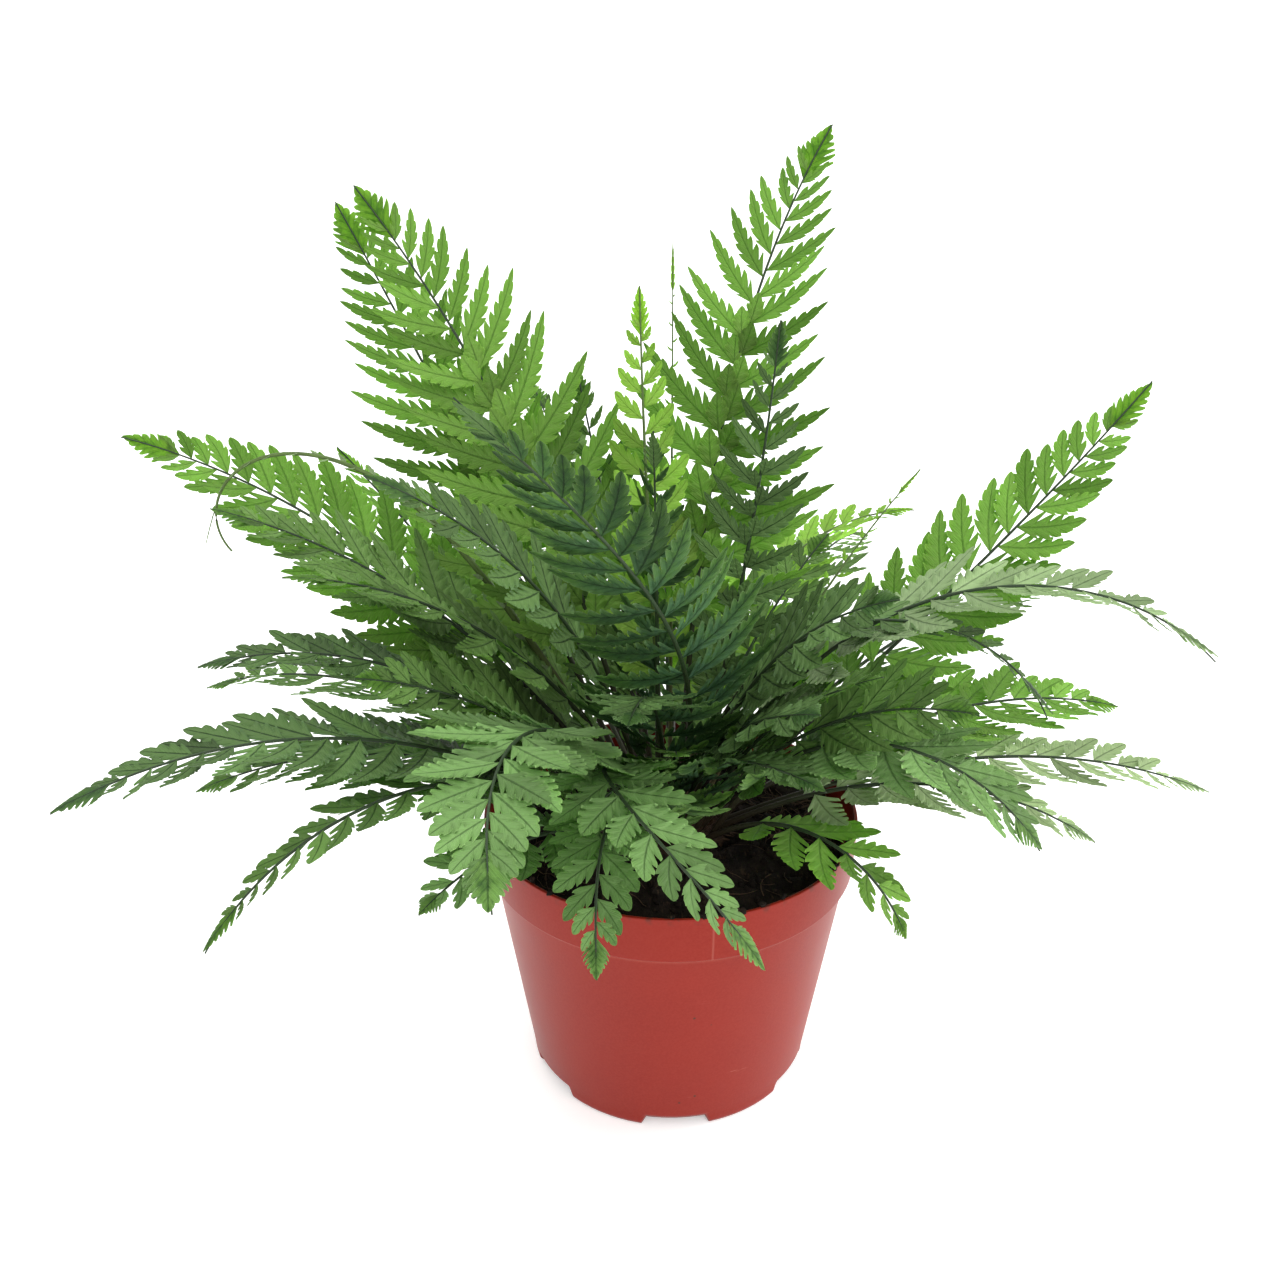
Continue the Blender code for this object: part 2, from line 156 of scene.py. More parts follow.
def closedGrid(rows, columns, turnedOver=False):
    # The grid's faces with a fan of triangles at each end: its points are followed by one for the first
    # ring and one for the last.
    column = np.arange(columns)
    following = (column + 1) % columns
    end = (rows - 1) * columns
    first, last = (np.full(columns, rows * columns + index) for index in (0, 1))
    faces = np.concatenate([gridFaces(rows, columns), np.stack([following, column, first, first], -1),
                            np.stack([end + column, end + following, last, last], -1)])
    return faces if turnedOver else faces[:, [1, 0, 3, 2]]


class Surface:
    # Gathers points, faces, material numbers, map coordinates and leaf data for one piece.

    def __init__(self):
        self.points, self.faces, self.slots, self.maps, self.data = [], [], [], [], []
        self.count = 0

    def add(self, points, quads, slot=0, maps=None, data=None):
        points = np.asarray(points, float).reshape(-1, 3)
        self.points.append(points)
        self.faces.append(quads + self.count)
        self.slots.append(np.full(len(quads), slot))
        self.maps.append(np.zeros((len(points), 2)) if maps is None else maps.reshape(-1, 2))
        self.data.append(np.zeros((len(points), 4)) if data is None else data.reshape(-1, 4))
        self.count += len(points)

    def build(self, name, materials, sharpAngle=50.0):
        # A quad whose last two corners are the same is a triangle.
        points, faces = np.concatenate(self.points), np.concatenate(self.faces)
        slots, maps, data = np.concatenate(self.slots), np.concatenate(self.maps), np.concatenate(self.data)
        triangles = faces[:, 2] == faces[:, 3]
        sizes = np.where(triangles, 3, 4)
        corners = faces[~(np.arange(4)[None] >= sizes[:, None])]
        mesh = bpy.data.meshes.new(name)
        mesh.vertices.add(len(points))
        mesh.vertices.foreach_set("co", points.ravel())
        mesh.loops.add(len(corners))
        mesh.loops.foreach_set("vertex_index", corners)
        mesh.polygons.add(len(faces))
        mesh.polygons.foreach_set("loop_start", np.concatenate([[0], np.cumsum(sizes)[:-1]]))
        mesh.polygons.foreach_set("loop_total", sizes)
        mesh.polygons.foreach_set("material_index", slots)
        mesh.update()
        layer = mesh.uv_layers.new(name="UVMap")
        layer.data.foreach_set("uv", maps[corners].ravel())
        mesh.attributes.new("leafData", "FLOAT_COLOR", "POINT").data.foreach_set("color", data.ravel())
        mesh.validate()
        mesh.shade_smooth()
        mesh.set_sharp_from_angle(angle=math.radians(sharpAngle))
        for material in materials:
            mesh.materials.append(material)
        made = bpy.data.objects.new(name, mesh)
        bpy.context.scene.collection.objects.link(made)
        return made


def addTube(surface, path, radii, slot, sides=8):
    # Circles of the given radii carried along a path, with a cap at each end.
    forward = unit(np.gradient(path, axis=0))
    reference = np.where(np.abs(forward[:, 2:3]) > 0.9, [[1.0, 0.0, 0.0]], [[0.0, 0.0, 1.0]])
    across = unit(np.cross(forward, reference[:1]))
    above = np.cross(across, forward)
    angle = np.arange(sides) * math.tau / sides
    rings = (path[:, None] + radii[:, None, None] * (across[:, None] * np.cos(angle)[None, :, None]
             + above[:, None] * np.sin(angle)[None, :, None]))
    points = np.concatenate([rings.reshape(-1, 3), path[:1], path[-1:]])
    along = np.concatenate([np.repeat(np.linspace(0, 1, len(path)), sides), [0.0, 1.0]])
    around = np.concatenate([np.tile(np.arange(sides) / sides, len(path)), [0.0, 0.0]])
    surface.add(points, closedGrid(len(path), sides), slot, np.stack([along, around], -1))


class Nodes:
    # Short hand for a node tree: each call adds one node and joins what it is given.

    def __init__(self, tree):
        self.tree = tree

    def add(self, kind, values=None, **settings):
        node = self.tree.nodes.new(kind)
        for key, value in settings.items():
            setattr(node, key, value)
        for key, value in (values or {}).items():
            if isinstance(value, bpy.types.NodeSocket):
                self.tree.links.new(value, node.inputs[key])
            else:
                node.inputs[key].default_value = value
        return node

    def math(self, operation, first, second=0.0, clamp=False):
        return self.add("ShaderNodeMath", {0: first, 1: second}, operation=operation, use_clamp=clamp).outputs[0]

    def spread(self, value, low, high, toLow=0.0, toHigh=1.0):
        return self.add("ShaderNodeMapRange", {"Value": value, "From Min": low, "From Max": high,
                                               "To Min": toLow, "To Max": toHigh}).outputs["Result"]

    def mix(self, share, first, second, blend="MIX"):
        node = self.add("ShaderNodeMix", {"Factor": share}, data_type="RGBA", blend_type=blend)
        for index, value in ((6, first), (7, second)):
            if isinstance(value, bpy.types.NodeSocket):
                self.tree.links.new(value, node.inputs[index])
            else:
                node.inputs[index].default_value = (*value, 1.0)
        return node.outputs[2]

    def times(self, first, second, clamp=False):
        return self.math("MULTIPLY", first, second, clamp)

    def offset(self, value, centre):
        # How far a value is from its centre, on either side.
        return self.math("ABSOLUTE", self.math("SUBTRACT", value, centre))

    def noise(self, where, scale, detail=3.0, roughness=0.55):
        return self.add("ShaderNodeTexNoise", {"Vector": where, "Scale": scale, "Detail": detail,
                                               "Roughness": roughness}).outputs["Fac"]


    def finish(self, colour, roughness, specular, height, strength, distance):
        # A plain coat over bumps, joined to the material's output.
        bump = self.add("ShaderNodeBump", {"Strength": strength, "Distance": distance, "Height": height})
        coat = self.add("ShaderNodeBsdfPrincipled", {"Base Color": colour, "Roughness": roughness,
                                                     "Normal": bump.outputs[0], "Specular IOR Level": specular})
        self.add("ShaderNodeOutputMaterial", {"Surface": coat.outputs[0]})


def newMaterial(name):
    made = bpy.data.materials.new(name)
    made.use_nodes = True
    made.node_tree.nodes.clear()
    return made, Nodes(made.node_tree)


def newGroup(name, inputs, outputs):
    # A shader group: inputs and outputs map socket names to (type, default).
    tree = bpy.data.node_groups.new(name, "ShaderNodeTree")
    for socketName, (kind, default) in inputs.items():
        socket = tree.interface.new_socket(socketName, in_out="INPUT", socket_type=kind)
        socket.default_value = default
    for socketName, kind in outputs.items():
        tree.interface.new_socket(socketName, in_out="OUTPUT", socket_type=kind)
    nodes = Nodes(tree)
    return tree, nodes, nodes.add("NodeGroupInput").outputs, nodes.add("NodeGroupOutput").inputs


frondLooks = {
    # face, base (a bluish painted sheen), edge, underside, light coming through, share of light through, roughness
    "deep": ((0.040, 0.095, 0.020), (0.115, 0.230, 0.155), (0.072, 0.160, 0.030), (0.11, 0.20, 0.06),
             (0.11, 0.36, 0.02), 0.24, 0.50),
    "mid": ((0.080, 0.180, 0.020), (0.100, 0.215, 0.080), (0.132, 0.285, 0.038), (0.15, 0.27, 0.07),
            (0.19, 0.52, 0.03), 0.32, 0.52),
    "pale": ((0.118, 0.232, 0.046), (0.140, 0.275, 0.140), (0.205, 0.375, 0.092), (0.19, 0.33, 0.11),
             (0.25, 0.56, 0.07), 0.34, 0.50),
    "bright": ((0.122, 0.262, 0.020), (0.100, 0.225, 0.044), (0.225, 0.430, 0.038), (0.20, 0.36, 0.07),
               (0.34, 0.74, 0.03), 0.44, 0.52),
    "silver": ((0.190, 0.285, 0.105), (0.140, 0.240, 0.120), (0.310, 0.440, 0.190), (0.30, 0.42, 0.20),
               (0.30, 0.56, 0.12), 0.32, 0.50),
    "frost": ((0.270, 0.400, 0.170), (0.200, 0.320, 0.160), (0.430, 0.570, 0.290), (0.38, 0.50, 0.25),
              (0.38, 0.62, 0.16), 0.34, 0.50),
    "lime": ((0.230, 0.440, 0.030), (0.200, 0.390, 0.040), (0.370, 0.620, 0.075), (0.34, 0.54, 0.10),
             (0.56, 1.00, 0.08), 0.50, 0.50),
}


leafMarks = {
    "veinSlant": 0.9,       # teeth that a vein runs forwards on its way to the edge
    "fineVeins": 4.0,       # to a tooth
    "mottleScale": 240.0, "cloudScale": 45.0,
    "midrib": (0.014, 0.032, 0.012),
    # share of the dark colour, and that colour
    "besideMidrib": (0.38, (0.018, 0.045, 0.016)),
    "bigVein": (0.55, (0.016, 0.042, 0.016)),
    "fineVein": (0.22, (0.020, 0.050, 0.018)),
}
midribDarkness = {"deep": 0.85, "mid": 0.72, "pale": 0.58, "bright": 0.45, "silver": 0.55, "frost": 0.50,
                  "lime": 0.35}


def makeLeafColourGroup():
    # Colour and height of a leaf from its own map: x counts the teeth along it, y runs from edge to edge.
    colour, value = "NodeSocketColor", "NodeSocketFloat"
    tree, nodes, given, out = newGroup(
        "leafSkin",
        {"Face": (colour, (0.05, 0.12, 0.03, 1)), "Base": (colour, (0.05, 0.12, 0.07, 1)),
         "Edge": (colour, (0.1, 0.2, 0.05, 1)), "Under": (colour, (0.12, 0.2, 0.08, 1)),
         "RimAndHighlight": (colour, (0.3, 0.4, 0.2, 1)), "Midrib": (value, 0.8)},
        {"Color": colour, "Height": value, "Roughness": value})
    uv = nodes.add("ShaderNodeUVMap", uv_map="UVMap").outputs["UV"]
    teeth, across, _ = nodes.add("ShaderNodeSeparateXYZ", {0: uv}).outputs
    data = nodes.add("ShaderNodeAttribute", attribute_name="leafData")
    upFrond, tone, under = nodes.add("ShaderNodeSeparateColor", {0: data.outputs["Color"]}).outputs
    along = data.outputs["Alpha"]
    place = nodes.add("ShaderNodeTexCoord").outputs["Object"]
    fromMidrib = nodes.offset(nodes.times(across, 2.0), 1.0)
    # Side veins leave the midrib forwards: one to each tooth, with finer ones between.
    phase = nodes.math("SUBTRACT", teeth, nodes.times(fromMidrib, leafMarks["veinSlant"]))
    finePhase = nodes.times(phase, leafMarks["fineVeins"])
    bigVein = nodes.spread(nodes.offset(nodes.math("FRACT", phase), 0.5), 0.16, 0.02)
    fineVein = nodes.spread(nodes.offset(nodes.math("FRACT", finePhase), 0.5), 0.25, 0.0)
    midrib = nodes.spread(fromMidrib, 0.085, 0.03)
    besideMidrib = nodes.spread(fromMidrib, 0.42, 0.05)
    paleMarginAndHighlight = nodes.spread(fromMidrib, 0.90, 0.98)
    mottle = nodes.noise(place, leafMarks["mottleScale"], 5.0, 0.68)
    broad = nodes.noise(place, leafMarks["cloudScale"], 3.0)
    towardsEdge = nodes.spread(nodes.math("ADD", fromMidrib, nodes.times(broad, 0.5)), 0.65, 1.25)
    body = nodes.mix(towardsEdge, given["Face"], given["Edge"])
    body = nodes.mix(nodes.spread(broad, 0.42, 0.66, 0.0, 0.5), body, given["Edge"])
    # A bluish painted sheen near each leaf's base and low on the frond, in patches.
    paintedBlueSheen = nodes.times(nodes.spread(along, 0.80, 0.0), nodes.spread(upFrond, 1.1, 0.1), True)
    paintedBlueSheen = nodes.times(paintedBlueSheen, nodes.spread(broad, 0.35, 0.65, 0.45, 1.0))
    body = nodes.mix(paintedBlueSheen, body, given["Base"])
    for mask, (share, dark) in ((besideMidrib, leafMarks["besideMidrib"]), (bigVein, leafMarks["bigVein"]),
                                (fineVein, leafMarks["fineVein"])):
        body = nodes.mix(nodes.times(mask, share), body, dark)
    body = nodes.mix(nodes.spread(mottle, 0.48, 0.62, 0.0, 0.55), body, given["Edge"])
    body = nodes.mix(nodes.spread(mottle, 0.49, 0.36, 0.0, 0.55), body, leafMarks["fineVein"][1])
    body = nodes.mix(under, body, given["Under"])
    body = nodes.mix(nodes.times(midrib, given["Midrib"]), body, leafMarks["midrib"])
    # A pale margin: partly the leaf's bristly edge, partly a painted highlight along it.
    body = nodes.mix(nodes.times(paleMarginAndHighlight, 0.45), body, given["RimAndHighlight"])
    bright = nodes.spread(tone, 0.0, 1.0, 0.52, 1.48)
    body = nodes.mix(1.0, body, nodes.add("ShaderNodeCombineColor", {0: bright, 1: bright, 2: bright}).outputs[0],
                     "MULTIPLY")
    # The midrib and the veins are sunk into the face.
    height = nodes.math("SUBTRACT", nodes.times(mottle, 0.25), midrib)
    for mask, name in ((bigVein, "bigVein"), (fineVein, "fineVein")):
        height = nodes.math("SUBTRACT", height, nodes.times(mask, leafMarks[name][0]))
    nodes.tree.links.new(body, out["Color"])
    nodes.tree.links.new(height, out["Height"])
    nodes.tree.links.new(nodes.spread(mottle, 0.3, 0.7, -0.05, 0.08), out["Roughness"])
    return tree


leafSkin = makeLeafColourGroup()


def makeLeafMaterial(name, look):
    # A satin leaf that lets some light through from behind.
    face, base, edge, under, through, throughShare, roughness = look
    material, nodes = newMaterial(name + "Leaf")
    skin = nodes.add("ShaderNodeGroup", node_tree=leafSkin)
    # Base is the colour of the bluish painted sheen.
    for socketName, value in (("Face", face), ("Base", base), ("Edge", edge), ("Under", under)):
        skin.inputs[socketName].default_value = (*value, 1.0)
    # The rim colour is a lightened edge colour, partly a painted highlight.
    skin.inputs["RimAndHighlight"].default_value = (*(0.10 + 1.3 * value for value in edge), 1.0)
    skin.inputs["Midrib"].default_value = midribDarkness[name]
    bump = nodes.add("ShaderNodeBump", {"Strength": 0.7, "Distance": 0.5 * mm, "Height": skin.outputs["Height"]})
    rough = nodes.math("ADD", skin.outputs["Roughness"], roughness)
    body = nodes.add("ShaderNodeBsdfPrincipled", {
        "Base Color": skin.outputs["Color"], "Roughness": rough, "Normal": bump.outputs[0],
        "Specular IOR Level": 0.16})
    glow = nodes.mix(0.35, through, skin.outputs["Color"])
    light = nodes.add("ShaderNodeBsdfTranslucent", {"Color": glow, "Normal": bump.outputs[0]})
    both = nodes.add("ShaderNodeMixShader", {0: throughShare, 1: body.outputs[0], 2: light.outputs[0]})
    nodes.add("ShaderNodeOutputMaterial", {"Surface": both.outputs[0]})
    return material


def makeStemMaterial(name, low, high):
    # Brown and scurfy at the foot of the stalk, turning towards the rachis colour.
    material, nodes = newMaterial(name)
    uv = nodes.add("ShaderNodeUVMap", uv_map="UVMap").outputs["UV"]
    along = nodes.add("ShaderNodeSeparateXYZ", {0: uv}).outputs[0]
    place = nodes.add("ShaderNodeTexCoord").outputs["Object"]
    streaks = nodes.noise(nodes.add("ShaderNodeMapping", {"Vector": uv, "Scale": (40.0, 6.0, 1.0)}).outputs[0], 1.0)
    specks = nodes.noise(place, 900.0, 2.0)
    body = nodes.mix(nodes.spread(along, 0.05, 0.45), low, high)
    body = nodes.mix(nodes.spread(streaks, 0.4, 0.7, 0.0, 0.5), body, (0.018, 0.018, 0.010))
    body = nodes.mix(nodes.spread(specks, 0.62, 0.75, 0.0, 0.4), body, (0.07, 0.05, 0.03))
    nodes.finish(body, 0.5, 0.25, specks, 0.5, 0.3 * mm)
    return material


leafMaterials = {name: makeLeafMaterial(name, look) for name, look in frondLooks.items()}
darkStem = makeStemMaterial("darkStem", (0.034, 0.024, 0.013), (0.022, 0.046, 0.016))
paleStem = makeStemMaterial("paleStem", (0.090, 0.070, 0.030), (0.090, 0.150, 0.035))
print("frond materials made")


# How far from the crown's middle a stem of each tier stands, and the power by which it bends.
tiers = {"outer": (15.5, 1.5), "middle": (11.5, 1.5), "inner": (7.5, 1.5), "heart": (3.0, 1.5), "crook": (8.0, 4.5)}
crown = {"radius": 19.0, "halfHeight": 8.5, "centre": 81.0, "scales": 420, "scaleLength": (2.5, 5.5)}
growth = {
    # share of the length that is bare: fronds in the thick of the plant have leaves lower down
    "stalkShare": {"tall": 0.28, "upper": 0.19, "short": 0.10, "low": 0.24, "back": 0.24, "young": 0.28},
    "basePitch": {"fine": 12.5, "plain": 12.0, "broad": 11.8},  # mm between pinnae at the blade's base
    "pitchPower": 1.6,        # they stand closer and closer towards the tip
    "tipStart": 0.90,         # of the blade, where the last pinnae run together
    "toothPitch": 3.9,        # mm
    "lean": (66.0, 42.0),     # degrees from the rachis, at the base and at the tip
    "lift": {"fine": 3.0, "plain": -6.0, "broad": -10.0},  # degrees above the blade's plane
    "stemRadius": (1.15, 0.8, 0.22),  # mm at the foot, at the blade's base and at the tip
    "leafThickness": 0.30,    # mm at the midrib
    "ears": {"to": 0.60, "from": 12.0, "turn": 42.0, "size": 0.33},  # share of blade, mm of leaf, degrees, share
    # how far chance spreads each leaf: place as a share of the stem, lean in radians, lift in degrees, size
    # as a share; twist in degrees and tone have their middle value first
    "chance": {"place": 0.0015, "lean": 0.05, "lift": 6.0, "twist": (10.0, 6.0), "size": 0.04, "tone": (0.5, 0.22)},
}

# tier, heading, rise, bend, turn, length, half width, roll, look: millimetres and degrees. Heading is counted
# from the right, anticlockwise as seen from above, and rise from level.
fronds = {
    "tall_frond_01": ("inner", 160, 75, 26, 0, 214, 42, -45, "bright"),
    "tall_frond_02": ("middle", 150, 62, 6, 0, 213, 40, -45, "bright"),
    "tall_frond_03": ("inner", 65, 85, 36, -25, 221, 41, 20, "bright"),
    "tall_frond_04": ("inner", 20, 78, -8, 0, 160, 24, 45, "deep"),
    "tall_frond_05": ("heart", 285, 62, 18, -112, 200, 33, 45, "deep"),
    "tall_frond_06": ("inner", 125, 74, 5, 0, 142, 24, -30, "mid"),
    "tall_frond_07": ("inner", 238, 89, 2, 0, 132, 22, 0, "deep"),
    "upper_frond_01": ("middle", 168, 52, 42, 0, 206, 34, -40, "bright"),
    "upper_frond_02": ("middle", 180, 58, 44, 0, 168, 36, -5, "mid"),
    "upper_frond_03": ("inner", 214, 76, 48, -10, 162, 27, -35, "deep"),
    "upper_frond_04": ("middle", 8, 43, -2, 15, 194, 32, 40, "bright"),
    "upper_frond_05": ("middle", 350, 71, 116, 0, 196, 30, 0, "silver"),
    "upper_frond_06": ("inner", 345, 84, 150, 0, 162, 20, 0, "deep"),
    "upper_frond_07": ("middle", 312, 66, 40, 20, 100, 30, 0, "mid"),
    "upper_frond_08": ("inner", 195, 66, 60, 0, 150, 28, 0, "mid"),
    "upper_frond_09": ("inner", 262, 72, 70, 0, 128, 32, 0, "deep"),
    "short_frond_01": ("inner", 290, 64, 45, 20, 105, 34, 25, "deep"),
    "short_frond_02": ("middle", 258, 58, 60, -10, 100, 33, -20, "pale"),
    "short_frond_03": ("middle", 208, 56, 40, 0, 118, 33, -35, "mid"),
    "short_frond_04": ("middle", 332, 60, 60, 0, 110, 33, 35, "mid"),
    "short_frond_05": ("inner", 315, 74, 50, 0, 130, 33, 40, "deep"),
    "short_frond_06": ("middle", 283, 68, 80, 40, 96, 26, 0, "deep"),
    "short_frond_07": ("outer", 270, 76, 60, 0, 80, 24, 0, "mid"),
    "short_frond_08": ("middle", 91, 56, 25, 0, 108, 34, 0, "mid"),
    "short_frond_09": ("heart", 41, 62, 30, 0, 104, 31, 20, "mid"),
    "short_frond_10": ("middle", 130, 50, 30, 0, 104, 31, -20, "deep"),
    "low_frond_01": ("outer", 184, 54, 72, 0, 152, 30, 0, "deep"),
    "low_frond_02": ("outer", 206, 44, 66, 0, 186, 31, 0, "deep"),
    "low_frond_03": ("outer", 218, 48, 100, 0, 164, 21, 5, "mid"),
    "low_frond_04": ("middle", 232, 62, 95, 50, 175, 40, 0, "pale"),
    "low_frond_05": ("outer", 250, 58, 115, 25, 118, 24, 0, "pale"),
    "low_frond_06": ("outer", 240, 64, 125, 105, 160, 26, 0, "pale"),
    "low_frond_07": ("outer", 318, 42, 110, 0, 88, 24, -5, "bright"),
    "low_frond_08": ("outer", 326, 64, 118, 0, 134, 36, -5, "pale"),
    "low_frond_09": ("outer", 345, 34, 68, 0, 124, 24, 0, "frost"),
    "low_frond_10": ("outer", 357, 26, 50, 0, 160, 26, 0, "frost"),
    "low_frond_11": ("outer", 12, 30, 50, 0, 146, 32, 10, "bright"),
    "low_frond_12": ("outer", 230, 38, 60, 0, 100, 26, 0, "pale"),
    "low_frond_13": ("outer", 194, 38, 60, 0, 140, 30, 0, "mid"),
    "back_frond_01": ("outer", 146, 44, 10, 0, 158, 26, 0, "bright"),
    "back_frond_02": ("middle", 112, 54, 30, 0, 165, 30, 0, "mid"),
    "back_frond_03": ("middle", 66, 62, 65, -60, 140, 26, 0, "lime"),
    "back_frond_04": ("outer", 34, 34, 50, 0, 170, 30, 0, "mid"),
    "back_frond_05": ("outer", 62, 38, 60, 0, 170, 30, 0, "mid"),
    "back_frond_06": ("outer", 88, 42, 75, 0, 180, 32, 0, "mid"),
    "back_frond_07": ("outer", 118, 38, 60, 0, 165, 28, 0, "mid"),
    "back_frond_08": ("outer", 165, 34, 60, 0, 158, 28, 0, "mid"),
    "young_frond_01": ("crook", 177, 60, 190, 0, 212, 6, 0, "silver"),
    "young_frond_02": ("heart", 125, 84, 5, -30, 166, 20, 0, "lime"),
    "young_frond_03": ("inner", 90, 78, 0, 0, 178, 5, 0, "lime"),
    "young_frond_04": ("middle", 32, 58, 20, 0, 132, 8, 0, "lime"),
}


class Path:
    # A stem: heading and rise change with a power of the share of the length, and its steps are added up.

    def __init__(self, row, count=121):
        tier, heading, rise, bend, turn, length, _, roll, _ = row
        reach, power = tiers[tier]
        self.shares = np.linspace(0.0, 1.0, count)
        heading0 = math.radians(heading)
        height = crown["centre"] + crown["halfHeight"] * math.sqrt(1.0 - (reach / crown["radius"]) ** 2) + 1.2
        foot = np.array([reach * math.cos(heading0), reach * math.sin(heading0), height]) * mm
        middles = 0.5 * (self.shares[1:] + self.shares[:-1])
        steps = self.forwards(middles, heading, turn, rise, bend, power)[0] * (length * mm / (count - 1))
        self.points = foot + np.concatenate([np.zeros((1, 3)), np.cumsum(steps, axis=0)])
        self.forward, upward = self.forwards(self.shares, heading, turn, rise, bend, power)
        side = np.cross(self.forward, upward)
        rolled = math.radians(roll) * np.minimum(1.0, 2.0 * self.shares)
        self.side = turned(side, self.forward, rolled)
        self.length = length * mm

    @staticmethod
    def forwards(shares, heading, turn, rise, bend, power):
        swing = shares ** power
        h, e = np.radians(heading + turn * swing), np.radians(rise - bend * swing)
        forward = np.stack([np.cos(e) * np.cos(h), np.cos(e) * np.sin(h), np.sin(e)], -1)
        upward = np.stack([-np.sin(e) * np.cos(h), -np.sin(e) * np.sin(h), np.cos(e)], -1)
        return forward, upward

    def at(self, shares):
        # Point, forward and side at these shares of the length.
        found = [np.stack([np.interp(shares, self.shares, values[:, axis]) for axis in range(3)], -1)
                 for values in (self.points, self.forward, self.side)]
        return found[0], unit(found[1]), unit(found[2])


# One tooth: where its points stand along it, and how far out each reaches.
toothSteps = np.array([0.0, 0.10, 0.42, 0.76, 0.94])
toothRise = np.array([0.0, 0.25, 0.80, 1.0, 0.98])


def toothStations(teeth):
    # Shares along a leaf: (tooth + step) / teeth for each step of each tooth, then the tip.
    return np.append((np.arange(teeth)[:, None] + toothSteps).ravel() / teeth, 1.0)


# The ring round a leaf's section: place across, height in half thicknesses, share of underside.
loopAcross = np.array([-1.0, -0.5, 0.0, 0.5, 1.0, 0.5, 0.0, -0.5])
loopLift = np.array([0.0, 0.8, 0.75, 0.8, 0.0, -0.8, -1.4, -0.8])
loopUnder = np.array([0.5, 0.0, 0.0, 0.0, 0.5, 1.0, 1.0, 1.0])
# What leaves have to lie on: the rim, the soil, and the wall, which goes in by wallFall of its depth.
rim = {"radius": 60.6 * mm, "top": 93.0 * mm, "soilRadius": 55.0 * mm, "soil": 88.5 * mm, "wallFall": 0.16}


def keptOff(place):
    # Points inside the pot or the compost move up on to the soil or the rim, or out in front of the wall.
    radius = np.hypot(place[..., 0], place[..., 1])
    top = np.where(radius < rim["soilRadius"], rim["soil"], rim["top"])
    wall = rim["radius"] - rim["wallFall"] * np.maximum(rim["top"] - place[..., 2], 0.0)
    inside = (radius < wall) & (place[..., 2] < top)
    outward = inside & (wall - radius < top - place[..., 2])
    scale = np.where(outward, wall / np.maximum(radius, 1e-6), 1.0)
    moved = place * np.stack([scale, scale, np.ones_like(scale)], -1)
    moved[..., 2] = np.where(inside & ~outward, top, moved[..., 2])
    return moved


def addLeaves(surface, base, along, upFrondSide, normal, size, teeth, shape, upFrond, tone):
    # Closed leaves, one for each row of base.
    # Along a leaf (share u) the midrib curves towards the frond's tip and sags, both as u squared. Its half
    # width is (u / widest) ** rise up to the widest place, times (1 - u ** taper) ** blunt, times the teeth;
    # the teeth lean forwards because every point moves along by its distance from the midrib times sweep.
    # Across it the section is a thin lens, folded down from the midrib.
    u = toothStations(teeth)
    rise = np.append(np.tile(toothRise, teeth), 0.0)
    depth = shape["depth"] * (1.0 - 0.55 * u)
    outline = np.minimum(1.0, u / shape["widest"] + 0.03) ** 0.75 * (1.0 - u ** shape["taper"]) ** shape["blunt"]
    length = size[:, None]
    half = 0.5 * length * shape["width"] * outline
    upper = half * (1.0 - depth * (1.0 - rise)) * (1.0 + shape["ear"] * np.exp(-((u - 0.18) / 0.12) ** 2))
    lower = half * (1.0 - 0.7 * depth * (1.0 - rise)) * (1.0 - shape["cut"] * np.exp(-(u / 0.16) ** 2))
    reach = np.where(loopAcross > 0, upper[..., None], lower[..., None]) * loopAcross
    away = np.abs(reach)
    shares = u[None, :, None]
    long = length[..., None]
    forward = shares * long + away * shape["sweep"] * np.clip(1.4 - 1.4 * shares, 0.0, 1.0)
    curve = shape["curve"] * shares ** 2 * long
    ripple = 0.12 * away * np.sin(math.tau * (shares * teeth + 0.1))
    lift = shape["fold"] * away + ripple - shape["sag"] * shares ** 2 * long
    middle = (base[:, None, None] + along[:, None, None] * forward[..., None]
              + upFrondSide[:, None, None] * (reach + curve)[..., None] + normal[:, None, None] * lift[..., None])
    thick = 0.5 * growth["leafThickness"] * mm * loopLift * np.minimum(1.0, 3.0 * (1.0 - shares) + 0.25)
    place = keptOff(middle) + normal[:, None, None] * thick[..., None]
    # The leaf's two ends are closed with two quads and two triangles each.
    count, rows, loop = len(base), len(u), len(loopAcross)
    near = np.array([[7, 0, 1, 1], [7, 1, 2, 6], [6, 2, 3, 5], [5, 3, 4, 4]])
    quads = np.concatenate([gridFaces(rows, loop), near[:, [1, 0, 3, 2]], near + (rows - 1) * loop])
    flip = quads[:, 0] == quads[:, 1]
    quads[flip] = quads[flip][:, [1, 2, 3, 3]]
    faces = (quads[None] + (np.arange(count) * rows * loop)[:, None, None]).reshape(-1, 4)
    maps = np.empty((count, rows, loop, 2))
    maps[..., 0] = (u * teeth)[None, :, None]
    maps[..., 1] = 0.5 + 0.5 * loopAcross
    data = np.empty((count, rows, loop, 4))
    data[..., 0] = upFrond[:, None, None]
    data[..., 1] = tone[:, None, None]
    data[..., 2] = loopUnder
    data[..., 3] = u[None, :, None]
    surface.add(place, faces, 0, maps, data)


